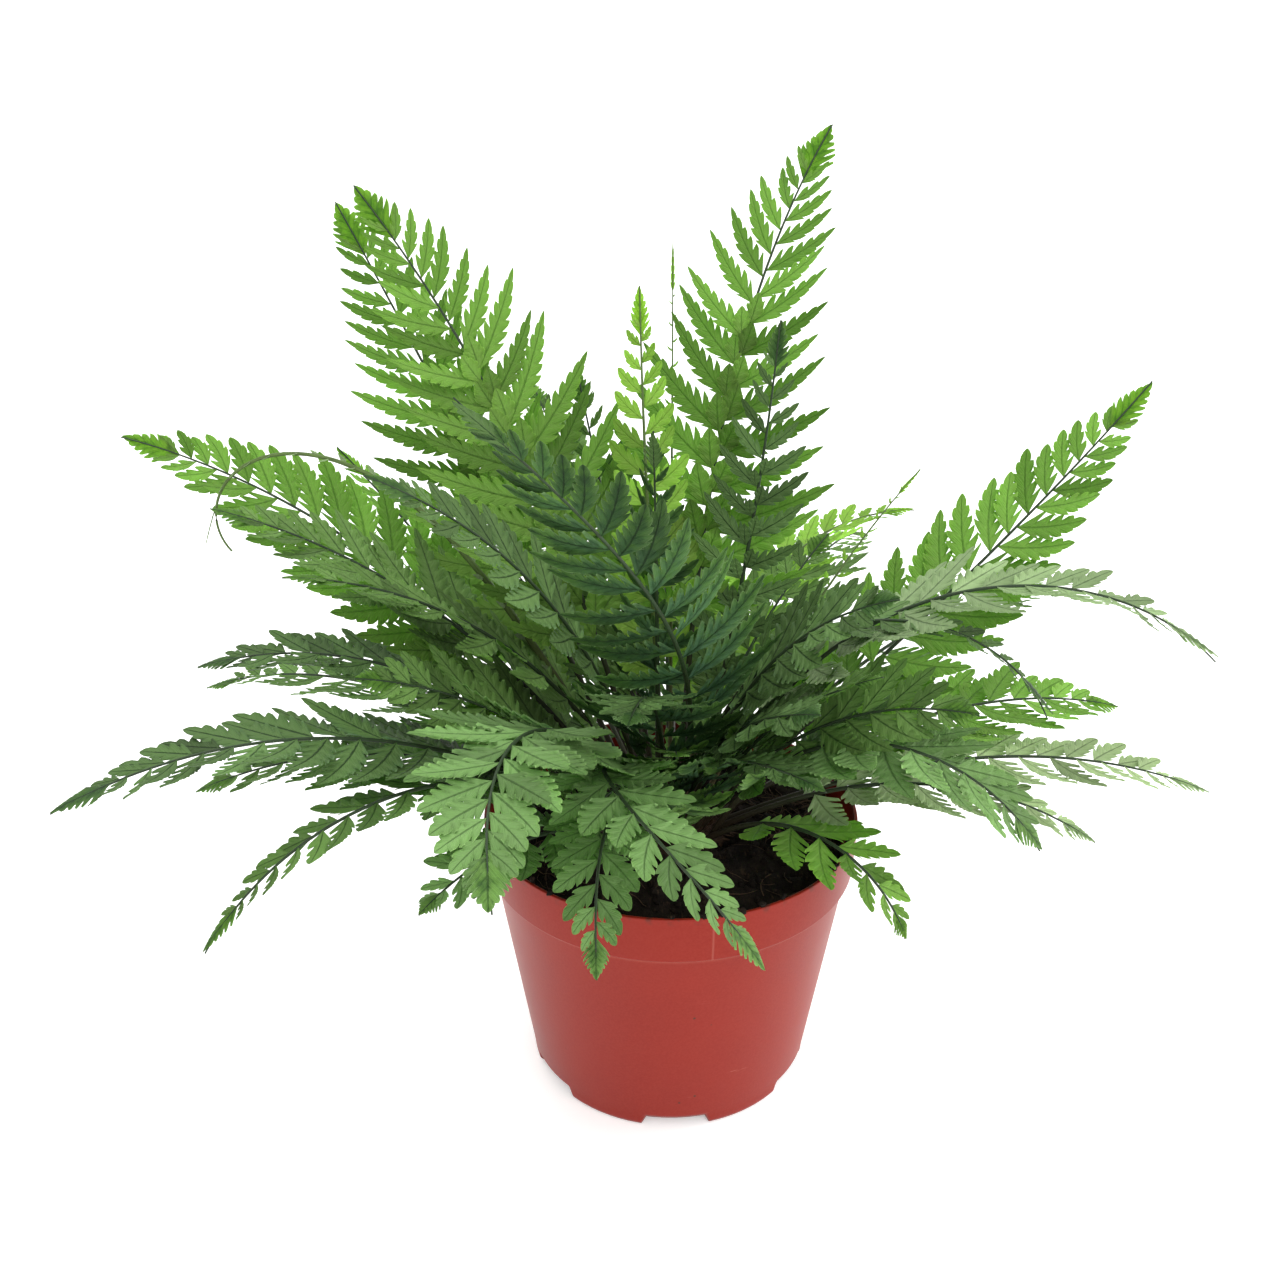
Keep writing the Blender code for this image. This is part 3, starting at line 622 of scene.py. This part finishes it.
# Fronds of three habits: cut deep with narrow leaves, the common one, and broad with shallow teeth.
habits = {
    "fine": {"width": 0.28, "widest": 0.14, "taper": 1.5, "blunt": 0.80, "depth": 0.68, "ear": 0.20, "cut": 0.45,
             "curve": 0.10, "fold": -0.10, "sag": 0.08, "sweep": 0.85},
    "plain": {"width": 0.40, "widest": 0.14, "taper": 1.9, "blunt": 0.74, "depth": 0.70, "ear": 0.22, "cut": 0.35,
              "curve": 0.14, "fold": -0.12, "sag": 0.14, "sweep": 0.85},
    "broad": {"width": 0.43, "widest": 0.14, "taper": 2.1, "blunt": 0.72, "depth": 0.68, "ear": 0.18, "cut": 0.30,
              "curve": 0.16, "fold": -0.14, "sag": 0.18, "sweep": 0.80},
}
earShape = {"width": 0.74, "widest": 0.38, "taper": 2.0, "blunt": 0.8, "depth": 0.25, "ear": 0.05, "cut": 0.1,
            "curve": 0.06, "fold": -0.08, "sag": 0.05, "sweep": 0.4}
tipShape = {"width": 0.80, "widest": 0.10, "taper": 1.6, "blunt": 0.8, "depth": 0.62, "ear": 0.0, "cut": 0.0,
            "curve": 0.0, "fold": -0.10, "sag": 0.05, "sweep": 0.9}
scaleShape = {"width": 0.3, "widest": 0.3, "taper": 1.3, "blunt": 0.9, "depth": 0.1, "ear": 0.0, "cut": 0.0,
              "curve": 0.15, "fold": 0.1, "sag": 0.2, "sweep": 0.2}


def bladeProfile(share):
    # Length of the leaves along the blade, as a share of the half width.
    return 1.0 - share ** 2.2


slenderNodes = ("tall_frond_01", "tall_frond_02", "tall_frond_03", "tall_frond_04", "tall_frond_06", "tall_frond_07",
                "young_frond_03", "young_frond_04")


def makeFrond(name, row, seed):
    # Leaf n of N on either side stands at 1 - (1 - n / N) ** pitchPower of the blade, so they close up
    # towards the tip. It leans away from the stem by lean, lifts by lift and twists round its own midrib.
    chance, ears = growth["chance"], growth["ears"]
    rng = np.random.default_rng(seed)
    path = Path(row)
    halfWidth, look = row[6] * mm, row[8]
    habit = "broad" if name.startswith("low") else "fine" if name in slenderNodes else "plain"
    surface = Surface()
    stalk = growth["stalkShare"][name.split("_")[0]]
    blade = path.length * (1.0 - stalk)
    pairs = max(8, round(growth["pitchPower"] * blade / (growth["basePitch"][habit] * mm)))
    radii = np.interp(path.shares, [0.0, stalk, 1.0], np.array(growth["stemRadius"]) * mm)
    radii = radii * (1.5 if row[0] == "crook" else min(1.0, 0.6 + halfWidth / (50 * mm)))
    addTube(surface, path.points, radii, 1)
    for hand in (-1.0, 1.0):
        order = (np.arange(pairs) + (0.12 if hand < 0 else 0.48)) / pairs
        share = 1.0 - (1.0 - order) ** growth["pitchPower"]
        share = share[share < growth["tipStart"]]
        count = len(share)
        where = stalk + (1.0 - stalk) * share + rng.normal(0.0, chance["place"], count)
        point, forward, side = path.at(where)
        up = np.cross(side, forward)
        lean = np.radians(np.interp(share, [0.0, 1.0], growth["lean"])) + rng.normal(0.0, chance["lean"], count)
        along = forward * np.cos(lean)[:, None] + side * np.sin(lean)[:, None] * hand
        upFrondSide = unit(forward * np.sin(lean)[:, None] - side * np.cos(lean)[:, None] * hand)
        lifted = np.radians(rng.normal(growth["lift"][habit], chance["lift"], count))
        along = unit(along * np.cos(lifted)[:, None] + up * np.sin(lifted)[:, None])
        normal = unit(np.cross(along, upFrondSide)) * -hand
        twist = np.radians(rng.normal(*chance["twist"], count))
        tiltedSide = unit(upFrondSide * np.cos(twist)[:, None] + normal * np.sin(twist)[:, None])
        tiltedNormal = unit(normal * np.cos(twist)[:, None] - upFrondSide * np.sin(twist)[:, None])
        size = halfWidth * bladeProfile(share) * rng.normal(1.0, chance["size"], count)
        size = size * np.minimum(1.0, 0.25 + where / 0.38)  # small ones low on the stem
        tone = np.clip(rng.normal(*chance["tone"], count), 0.0, 1.0)
        stemRadius = np.interp(where, path.shares, radii)
        base = point + along * (0.5 * stemRadius)[:, None] + up * (0.3 * stemRadius)[:, None]
        # Leaves with the same number of teeth are made together. Short ones are wider and blunter.
        teethWanted = np.clip(np.round(size / (growth["toothPitch"] * mm)), 3, 9).astype(int)
        for teeth in np.unique(teethWanted):
            chosen = teethWanted == teeth
            shape = dict(habits[habit])
            shape["width"] *= float(np.interp(teeth, [3, 8], [1.12, 1.0]))
            shape["depth"] *= float(np.interp(teeth, [3, 6], [0.85, 1.0]))
            shape["taper"] += float(np.interp(teeth, [3, 7], [0.8, 0.0]))
            shape["blunt"] -= float(np.interp(teeth, [3, 7], [0.12, 0.0]))
            addLeaves(surface, base[chosen], along[chosen], tiltedSide[chosen], tiltedNormal[chosen], size[chosen],
                      int(teeth), shape, share[chosen], tone[chosen])
        eared = (share < ears["to"]) & (size > ears["from"] * mm) & (habit == "fine")
        if eared.any():
            turn = math.radians(ears["turn"])
            earAlong = unit(along * math.cos(turn) + upFrondSide * math.sin(turn) + up * 0.06)
            earSide = unit(upFrondSide * math.cos(turn) - along * math.sin(turn))
            earNormal = unit(np.cross(earAlong, earSide)) * -hand
            earBase = base + along * 0.6 * mm + up * 0.4 * mm
            addLeaves(surface, earBase[eared], earAlong[eared], earSide[eared], earNormal[eared],
                      size[eared] * ears["size"], 4, earShape, share[eared], tone[eared])
    # The tip is one last leaf in line with the stem, its teeth as long as the pinnae beside it
    point, forward, side = path.at(np.array([stalk + (1.0 - stalk) * (growth["tipStart"] - 0.02)]))
    tipLength = np.array([(1.02 - growth["tipStart"]) * blade])
    shape = dict(tipShape, width=1.5 * halfWidth * bladeProfile(growth["tipStart"]) / tipLength[0])
    addLeaves(surface, point, forward, side, np.cross(side, forward), tipLength, 6, shape,
              np.array([1.0]), np.array([0.55]))
    stem = paleStem if look == "lime" or (look == "silver" and halfWidth < 10 * mm) else darkStem
    frond = surface.build(name + "_leafy", [leafMaterials[look], stem])
    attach(frond, "root")
    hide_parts(name)
    return frond


for index, (name, row) in enumerate(fronds.items()):
    makeFrond(name, row, 100 + index)
print("fronds grown:", len(fronds))


potSize = {
    "rim": 60.0, "height": 92.0, "band": 16.0, "bandStep": 1.9, "bandTaper": 0.7, "base": 46.5, "wall": 1.2,
    "corner": 1.6, "footWidth": 4.6, "floorLift": 3.0, "pad": 14.0,
    "notches": 6, "notchLift": 3.2, "notchHalfAngle": 13.0, "notchSlant": 1.6, "firstNotch": -88.0,
    "drain": 2.4, "innerDrain": 4.0, "innerDrains": 4, "boreFrom": -4.0, "boreTo": 7.4,
    "lowWall": 2.2, "footFade": 1.6,
}
plasticMarks = {
    # a pale painted highlight just under the band's step
    "bandHighlight": (75.2 * mm, 1.2 * mm),                # height of its middle and half its depth
    "topSoil": (89.5 * mm, 92.5 * mm),            # from nothing to full
    "inside": (45.5 * mm, 0.15),                  # radius at the bottom, and what it gains with height
    "seam": (math.radians(-79.0), 75.5 * mm),     # its direction and where it begins
}


def rounded(points, radii, steps=5):
    # Each corner c becomes the curve s (1 - t)^2 + 2 c t (1 - t) + e t^2, from s before it to e after it.
    out = [points[0]]
    for before, corner, after, radius in zip(points, points[1:], points[2:], radii[1:]):
        if radius == 0:
            out.append(corner)
            continue
        before, corner, after = (np.array(point, float) for point in (before, corner, after))
        reach = [min(radius, 0.49 * np.linalg.norm(other - corner)) for other in (before, after)]
        start, end = corner + unit(before - corner) * reach[0], corner + unit(after - corner) * reach[1]
        for t in np.linspace(0.0, 1.0, steps):
            out.append(tuple(start * (1 - t) ** 2 + corner * 2 * t * (1 - t) + end * t ** 2))
    return np.array(out + [points[-1]])


def addLathe(surface, outline, slot, segments, lift=None):
    # The outline turned round the upright axis; both its ends lie on the axis, where the rings close.
    angle = np.arange(segments) * math.tau / segments
    radius, height = outline[1:-1, 0][:, None], outline[1:-1, 1][:, None]
    rings = np.stack([radius * np.cos(angle), radius * np.sin(angle), height + 0.0 * angle], -1)
    if lift is not None:
        rings = lift(rings, angle)
    points = np.concatenate([rings.reshape(-1, 3), [[0, 0, outline[0, 1]], [0, 0, outline[-1, 1]]]])
    surface.add(points * mm, closedGrid(len(outline) - 2, segments, True), slot)


def makePlastic():
    # Cloudy satin plastic with grain, scuffs, a painted highlight under the band, soil and a faint moulding seam.
    material, nodes = newMaterial("satinTerracotta")
    place = nodes.add("ShaderNodeTexCoord").outputs["Object"]
    x, y, z = nodes.add("ShaderNodeSeparateXYZ", {0: place}).outputs
    radius = nodes.math("SQRT", nodes.math("ADD", nodes.times(x, x), nodes.times(y, y)))
    angle = nodes.math("ARCTAN2", y, x)
    cloudy = nodes.noise(place, 22.0, 3.0)
    grain = nodes.noise(place, 1400.0, 2.0)
    stretched = nodes.add("ShaderNodeMapping", {"Vector": place, "Scale": (60.0, 60.0, 500.0)}).outputs[0]
    scuffs = nodes.spread(nodes.noise(stretched, 1.0, 4.0, 0.7), 0.66, 0.74)
    patches = nodes.spread(nodes.noise(place, 14.0, 2.0), 0.52, 0.66)
    scuffs = nodes.times(scuffs, patches)
    # A pale painted highlight just under the band's step, soil smeared on the rim inside and out, and the whole
    # inside wall darker.
    highlightAt, highlightHalf = plasticMarks["bandHighlight"]
    bandHighlightMask = nodes.spread(nodes.offset(z, highlightAt), highlightHalf, 0.0)
    topSoil = nodes.times(nodes.spread(z, *plasticMarks["topSoil"]),
                          nodes.spread(nodes.noise(place, 240.0, 4.0), 0.50, 0.62))
    # The inside wall is made darker all over.
    bottomRadius, widening = plasticMarks["inside"]
    depthInside = nodes.math("SUBTRACT", nodes.math("ADD", bottomRadius, nodes.times(z, widening)), radius)
    inner = nodes.times(nodes.spread(depthInside, -0.2 * mm, 0.6 * mm), 0.55)
    specks = nodes.add("ShaderNodeTexVoronoi", {"Vector": place, "Scale": 190.0}).outputs["Distance"]
    specks = nodes.times(nodes.spread(specks, 0.10, 0.05), nodes.spread(nodes.noise(place, 60.0, 1.0), 0.62, 0.64))
    seamAt, seamFrom = plasticMarks["seam"]
    seam = nodes.times(nodes.spread(nodes.offset(angle, seamAt), 0.008, 0.002),
                       nodes.spread(z, seamFrom, seamFrom + 1.0 * mm))
    body = nodes.mix(nodes.spread(cloudy, 0.3, 0.7), (0.208, 0.0105, 0.0045), (0.236, 0.0140, 0.0065))
    body = nodes.mix(nodes.spread(grain, 0.35, 0.65, 0.0, 0.25), body, (0.30, 0.036, 0.020))
    for mask, share, colour in ((scuffs, 0.35, (0.60, 0.26, 0.20)), (bandHighlightMask, 0.22, (0.52, 0.18, 0.13)),
                                (seam, 0.15, (0.60, 0.25, 0.19)), (specks, 1.0, (0.05, 0.02, 0.012)),
                                (topSoil, 0.8, (0.045, 0.022, 0.014)), (inner, 0.9, (0.06, 0.03, 0.02))):
        body = nodes.mix(nodes.times(mask, share), body, colour)
    rough = nodes.math("ADD", nodes.spread(cloudy, 0.3, 0.7, 0.36, 0.42), nodes.times(scuffs, 0.2))
    height = nodes.math("ADD", nodes.times(grain, 0.3), seam)
    nodes.finish(body, rough, 0.18, height, 0.25, 0.2 * mm)
    return material


def makePot():
    # A turned shell: radii and heights of the outside from the middle of the foot up, then the inside down.
    p = potSize
    ring = p["base"] - p["corner"] - p["footWidth"]
    step = p["height"] - p["band"]
    low = p["notchLift"] + p["lowWall"]
    under = p["rim"] - p["bandTaper"] - p["bandStep"]
    w = p["wall"]
    outside = rounded(
        [(0, 0), (p["pad"], 0), (p["pad"] + 0.8, p["floorLift"]), (ring - 0.8, p["floorLift"]), (ring, 0),
         (p["base"] - p["corner"], 0), (p["base"] - 0.4, p["corner"]), (p["base"], low), (under, step - 0.6),
         (under + p["bandStep"], step + 0.4), (p["rim"], p["height"]), (p["rim"] - 0.5 * w, p["height"] + 0.01)],
        [0, 0.4, 0.4, 0.4, 0.5, 0.7, 0.8, 1.5, 0.5, 0.6, 0.5, 0])
    inside = rounded(
        [(p["rim"] - 0.5 * w, p["height"] + 0.01), (p["rim"] - w, p["height"]),
         (under + p["bandStep"] - w, step + 1.0), (under - w, step), (p["base"] - w, low + 0.8),
         (p["base"] - w - 0.4, p["corner"] + w), (p["base"] - p["corner"] - w, w), (ring + w, w),
         (ring, p["floorLift"] + w), (p["pad"], p["floorLift"] + w), (p["pad"] - w, w), (0, w)],
        [0, 0.5, 0.5, 0.5, 1.2, 0.6, 0.5, 0.3, 0.4, 0.4, 0.3, 0])
    outline = np.concatenate([outside, inside[1:]])
    thickness = np.concatenate([np.zeros(len(outside)), np.full(len(inside) - 1, w)])[1:-1, None]

    def lifted(rings, angle):
        # Foot points rise by the notch lift times a mask that slants at both ends of every notch; the
        # floor stays.
        pitch = 360.0 / p["notches"]
        away = np.abs((np.degrees(angle) - p["firstNotch"] + 0.5 * pitch) % pitch - 0.5 * pitch)
        mask = np.clip((p["notchHalfAngle"] + 0.5 * p["notchSlant"] - away) / p["notchSlant"], 0.0, 1.0)
        height = rings[..., 2] - thickness
        fade = np.clip((low - height) / (low - p["footFade"]), 0.0, 1.0)
        outer = np.hypot(rings[..., 0], rings[..., 1]) > p["pad"] + 4.0
        onFloor = (height > p["floorLift"] - 0.01) & (height < p["floorLift"] + 0.01)
        rings[..., 2] += np.where(outer & ~onFloor, p["notchLift"] * fade * mask, 0.0)
        return rings

    surface = Surface()
    addLathe(surface, outline, 0, 360, lifted)
    pot = surface.build("potBody", [makePlastic()], 40.0)
    holes = []
    reach = p["base"] - p["corner"] - 0.5 * p["footWidth"]
    for index in range(p["notches"]):
        holes.append((p["drain"], reach, p["firstNotch"] + index * 360.0 / p["notches"] + p["notchHalfAngle"] - 5.0))
    for index in range(p["innerDrains"]):
        holes.append((p["innerDrain"], 0.5 * (p["pad"] + ring), 45.0 + index * 360.0 / p["innerDrains"]))
    for radius, distance, angle in holes:
        bore = Surface()
        addLathe(bore, np.array([(0, p["boreFrom"]), (radius, p["boreFrom"]), (radius, p["boreTo"]),
                                 (0, p["boreTo"])]), 0, 32)
        cutter = bore.build("bore", [])
        turn = math.radians(angle)
        cutter.location = (distance * math.cos(turn) * mm, distance * math.sin(turn) * mm, 0.0)
        cut = pot.modifiers.new("drain", "BOOLEAN")
        cut.operation = "DIFFERENCE"
        cut.object = cutter
        cut.solver = "EXACT"
    bpy.context.view_layer.update()
    solid = bpy.data.meshes.new_from_object(pot.evaluated_get(bpy.context.evaluated_depsgraph_get()))
    for cutter in [cut.object for cut in pot.modifiers]:
        bpy.data.objects.remove(cutter)
    pot.modifiers.clear()
    pot.data = solid
    solid.shade_smooth()
    solid.set_sharp_from_angle(angle=math.radians(40.0))
    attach(pot, "root")
    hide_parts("pot")


makePot()
print("pot turned")


soilSize = {
    "bottom": 5.4, "side": 55.0, "straightTo": 74.0, "middle": 81.0,
    "level": {0: 81.0, 17: 83.0, 24: 87.0, 42: 86.4, 55: 84.2},  # radius: height
    "lumps": ((9.0, 1.3), (3.7, 0.8), (1.6, 0.5)),                # how wide and how high
    "crumbs": 520, "crumbReach": 54.0, "fibres": 150,
    # crumbs on the rim: middle direction, spread and count of two drifts, and a few anywhere
    "rimDrifts": ((-74.0, 6.0, 12), (-30.0, 9.0, 14)), "rimStrays": 12,
}


def makeEarth():
    # Nearly black peat with brown strands and pale grains.
    material, nodes = newMaterial("darkPeat")
    place = nodes.add("ShaderNodeTexCoord").outputs["Object"]
    coarse, fine = nodes.noise(place, 130.0, 5.0, 0.7), nodes.noise(place, 620.0, 4.0, 0.7)
    strand = nodes.add("ShaderNodeMapping", {"Vector": place, "Scale": (900.0, 160.0, 500.0),
                                             "Rotation": (0.3, 0.2, 0.7)})
    strands = nodes.noise(strand.outputs[0], 1.0, 3.0)
    body = nodes.mix(nodes.spread(coarse, 0.35, 0.7), (0.0045, 0.0032, 0.0024), (0.020, 0.013, 0.009))
    body = nodes.mix(nodes.spread(strands, 0.60, 0.72, 0.0, 0.7), body, (0.060, 0.036, 0.022))
    body = nodes.mix(nodes.spread(fine, 0.68, 0.76, 0.0, 0.5), body, (0.10, 0.065, 0.045))
    height = nodes.math("ADD", coarse, nodes.times(fine, 0.5))
    nodes.finish(body, 0.92, 0.15, height, 0.9, 1.5 * mm)
    return material


def makeBark(name, dark, pale):
    # Brown fibre: roots, scales and the crown's skin.
    material, nodes = newMaterial(name)
    place = nodes.add("ShaderNodeTexCoord").outputs["Object"]
    spots = nodes.noise(place, 420.0, 4.0, 0.65)
    body = nodes.mix(nodes.spread(spots, 0.3, 0.7), dark, pale)
    nodes.finish(body, 0.75, 0.2, spots, 0.8, 0.6 * mm)
    return material


def lumpOutline(rings=5, sides=7):
    # Directions over a sphere in rings, for crumbs.
    polar = np.linspace(0.0, math.pi, rings + 2)[1:-1]
    angle = np.arange(sides) * math.tau / sides
    ring = np.stack([np.sin(polar)[:, None] * np.cos(angle), np.sin(polar)[:, None] * np.sin(angle),
                     np.cos(polar)[:, None] + 0.0 * angle], -1).reshape(-1, 3)
    points = np.concatenate([ring, [[0, 0, 1.0], [0, 0, -1.0]]])
    return points, closedGrid(rings, sides)


def addCrumbs(surface, centres, sizes, rng, slot, stretch=0.4):
    # Rough lumps: a sphere whose points move in and out by chance, stretched and turned by chance.
    directions, quads = lumpOutline()
    count = len(centres)
    rough = directions[None] * rng.uniform(0.65, 1.15, (count, len(directions), 1))
    rough = rough * (1.0 + stretch * rng.uniform(-1.0, 1.0, (count, 1, 3)))
    turn = rng.uniform(0.0, math.tau, count)
    cos, sin = np.cos(turn)[:, None], np.sin(turn)[:, None]
    x, y = rough[..., 0] * cos - rough[..., 1] * sin, rough[..., 0] * sin + rough[..., 1] * cos
    points = centres[:, None] + np.stack([x, y, rough[..., 2]], -1) * sizes[:, None, None]
    faces = quads[None] + (np.arange(count) * len(directions))[:, None, None]
    surface.add(points, faces.reshape(-1, 4), slot)


def soilHeight(x, y):
    # Millimetres: highest round the crown, falling to the wall, with lumps of three sizes.
    level = np.interp(np.hypot(x, y), list(soilSize["level"]), list(soilSize["level"].values()))
    for seed, (wide, high) in enumerate(soilSize["lumps"], 1):
        level = level + high * latticeNoise(x / wide + 30, y / wide + 30, seed)
    return level


def makeCompost():
    # The top is soilHeight over rings of growing radius; under it the plug narrows to its flat bottom.
    rng = np.random.default_rng(5)
    s = soilSize
    surface = Surface()
    segments = 220
    angle = np.arange(segments) * math.tau / segments
    radius = np.linspace(1.0, s["side"], 78)[:, None]
    x, y = radius * np.cos(angle), radius * np.sin(angle)
    top = np.stack([x, y, soilHeight(x, y)], -1)
    lowSide, lowIn = s["side"] - 9.6, s["side"] - 11.0
    skirt = [np.stack([r * np.cos(angle), r * np.sin(angle), 0 * angle + z], -1)
             for r, z in ((s["side"], s["straightTo"]), (lowSide, 7.0), (lowIn, s["bottom"]), (1.0, s["bottom"]))]
    rings = np.concatenate([top, np.stack(skirt)])
    points = np.concatenate([rings.reshape(-1, 3), [[0, 0, s["middle"]], [0, 0, s["bottom"]]]])
    surface.add(points * mm, closedGrid(len(rings), segments), 0)
    # Crumbs lie on the soil, and a few on the rim's edge.
    count = s["crumbs"]
    where, turn = s["crumbReach"] * np.sqrt(rng.uniform(0.1, 1.0, count)), rng.uniform(0.0, math.tau, count)
    x, y = where * np.cos(turn), where * np.sin(turn)
    size = rng.gamma(3.0, 0.28, count) + 0.3
    centres = np.stack([x, y, soilHeight(x, y) + 0.3 * size], -1)
    addCrumbs(surface, centres * mm, size * mm, rng, 0)
    drifts = [rng.normal(*drift) for drift in s["rimDrifts"]]
    turn = np.radians(np.concatenate([*drifts, rng.uniform(0, 360, s["rimStrays"])]))
    size = rng.uniform(0.4, 1.25, len(turn))
    spread = rng.uniform(58.2, 59.9, len(turn))
    centres = np.stack([spread * np.cos(turn), spread * np.sin(turn), 92.0 + 0.4 * size], -1)
    addCrumbs(surface, centres * mm, size * mm, rng, 0)
    # Root fibres lie on the soil, thickest at the back and the right. Each is a bow, t * t - 1/4.
    for index in range(s["fibres"]):
        heading = math.radians(rng.normal(35.0, 50.0) if index % 2 else rng.uniform(0.0, 360.0))
        reach = rng.uniform(26.0, 53.0)
        run, bow = rng.uniform(5.0, 20.0), rng.uniform(-7.0, 7.0)
        aim = rng.uniform(0.0, math.tau)
        t = np.linspace(-0.5, 0.5, 12)
        x = reach * math.cos(heading) + run * t * math.cos(aim) - bow * (t * t - 0.25) * math.sin(aim) * 4
        y = reach * math.sin(heading) + run * t * math.sin(aim) + bow * (t * t - 0.25) * math.cos(aim) * 4
        out = np.maximum(np.hypot(x, y) / (s["side"] - 0.5), 1.0)
        x, y = x / out, y / out
        z = soilHeight(x, y) + 0.25 + rng.uniform(0.0, 2.2) * (0.25 - t * t) * 4
        radius = np.full(len(t), rng.uniform(0.10, 0.26) * mm) * (1.0 - 0.6 * np.abs(t))
        addTube(surface, np.stack([x, y, z], -1) * mm, radius, 1, 5)
    rootFibre = makeBark("rootFibre", (0.022, 0.013, 0.008), (0.085, 0.050, 0.030))
    compost = surface.build("compostBody", [makeEarth(), rootFibre])
    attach(compost, "root")
    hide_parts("compost")


def makeCrown():
    # A squat dome, r(angle, height) pushed in and out by noise, set with small brown scales.
    rng = np.random.default_rng(8)
    surface = Surface()
    rows, segments = 26, 72
    polar = np.linspace(0.0, math.pi, rows + 2)[1:-1, None]
    angle = np.arange(segments) * math.tau / segments
    bump = 1.0 + 0.06 * latticeNoise(4 * np.cos(angle) + 9 + 3 * polar, 4 * np.sin(angle) + 9 + polar, 4)
    radius, half, centre = crown["radius"], crown["halfHeight"], crown["centre"]
    x, y = radius * bump * np.sin(polar) * np.cos(angle), radius * bump * np.sin(polar) * np.sin(angle)
    z = centre + half * bump * np.cos(polar)
    points = np.concatenate([np.stack([x, y, z], -1).reshape(-1, 3), [[0, 0, centre + half], [0, 0, centre - half]]])
    surface.add(points * mm, closedGrid(rows, segments), 0)
    count = crown["scales"]
    tilt, turn = np.arccos(rng.uniform(0.02, 1.0, count)), rng.uniform(0.0, math.tau, count)
    out = np.stack([np.sin(tilt) * np.cos(turn), np.sin(tilt) * np.sin(turn), np.cos(tilt)], -1)
    base = out * [radius, radius, half] + [0, 0, centre]
    along = unit(out * rng.uniform(0.4, 1.0, (count, 1)) + rng.normal(0.0, 0.45, (count, 3)) + [0, 0, 0.5])
    side = unit(np.cross(along, out + [0.01, 0.02, 0.0]))
    addLeaves(surface, base * mm, along, side, np.cross(along, side), rng.uniform(*crown["scaleLength"], count) * mm,
              1, scaleShape, np.zeros(count), np.full(count, 0.5))
    made = surface.build("crownBody", [makeBark("crownBark", (0.018, 0.010, 0.006), (0.070, 0.036, 0.018))])
    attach(made, "root")
    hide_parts("crown")


makeCompost()
makeCrown()
print("compost and crown laid")
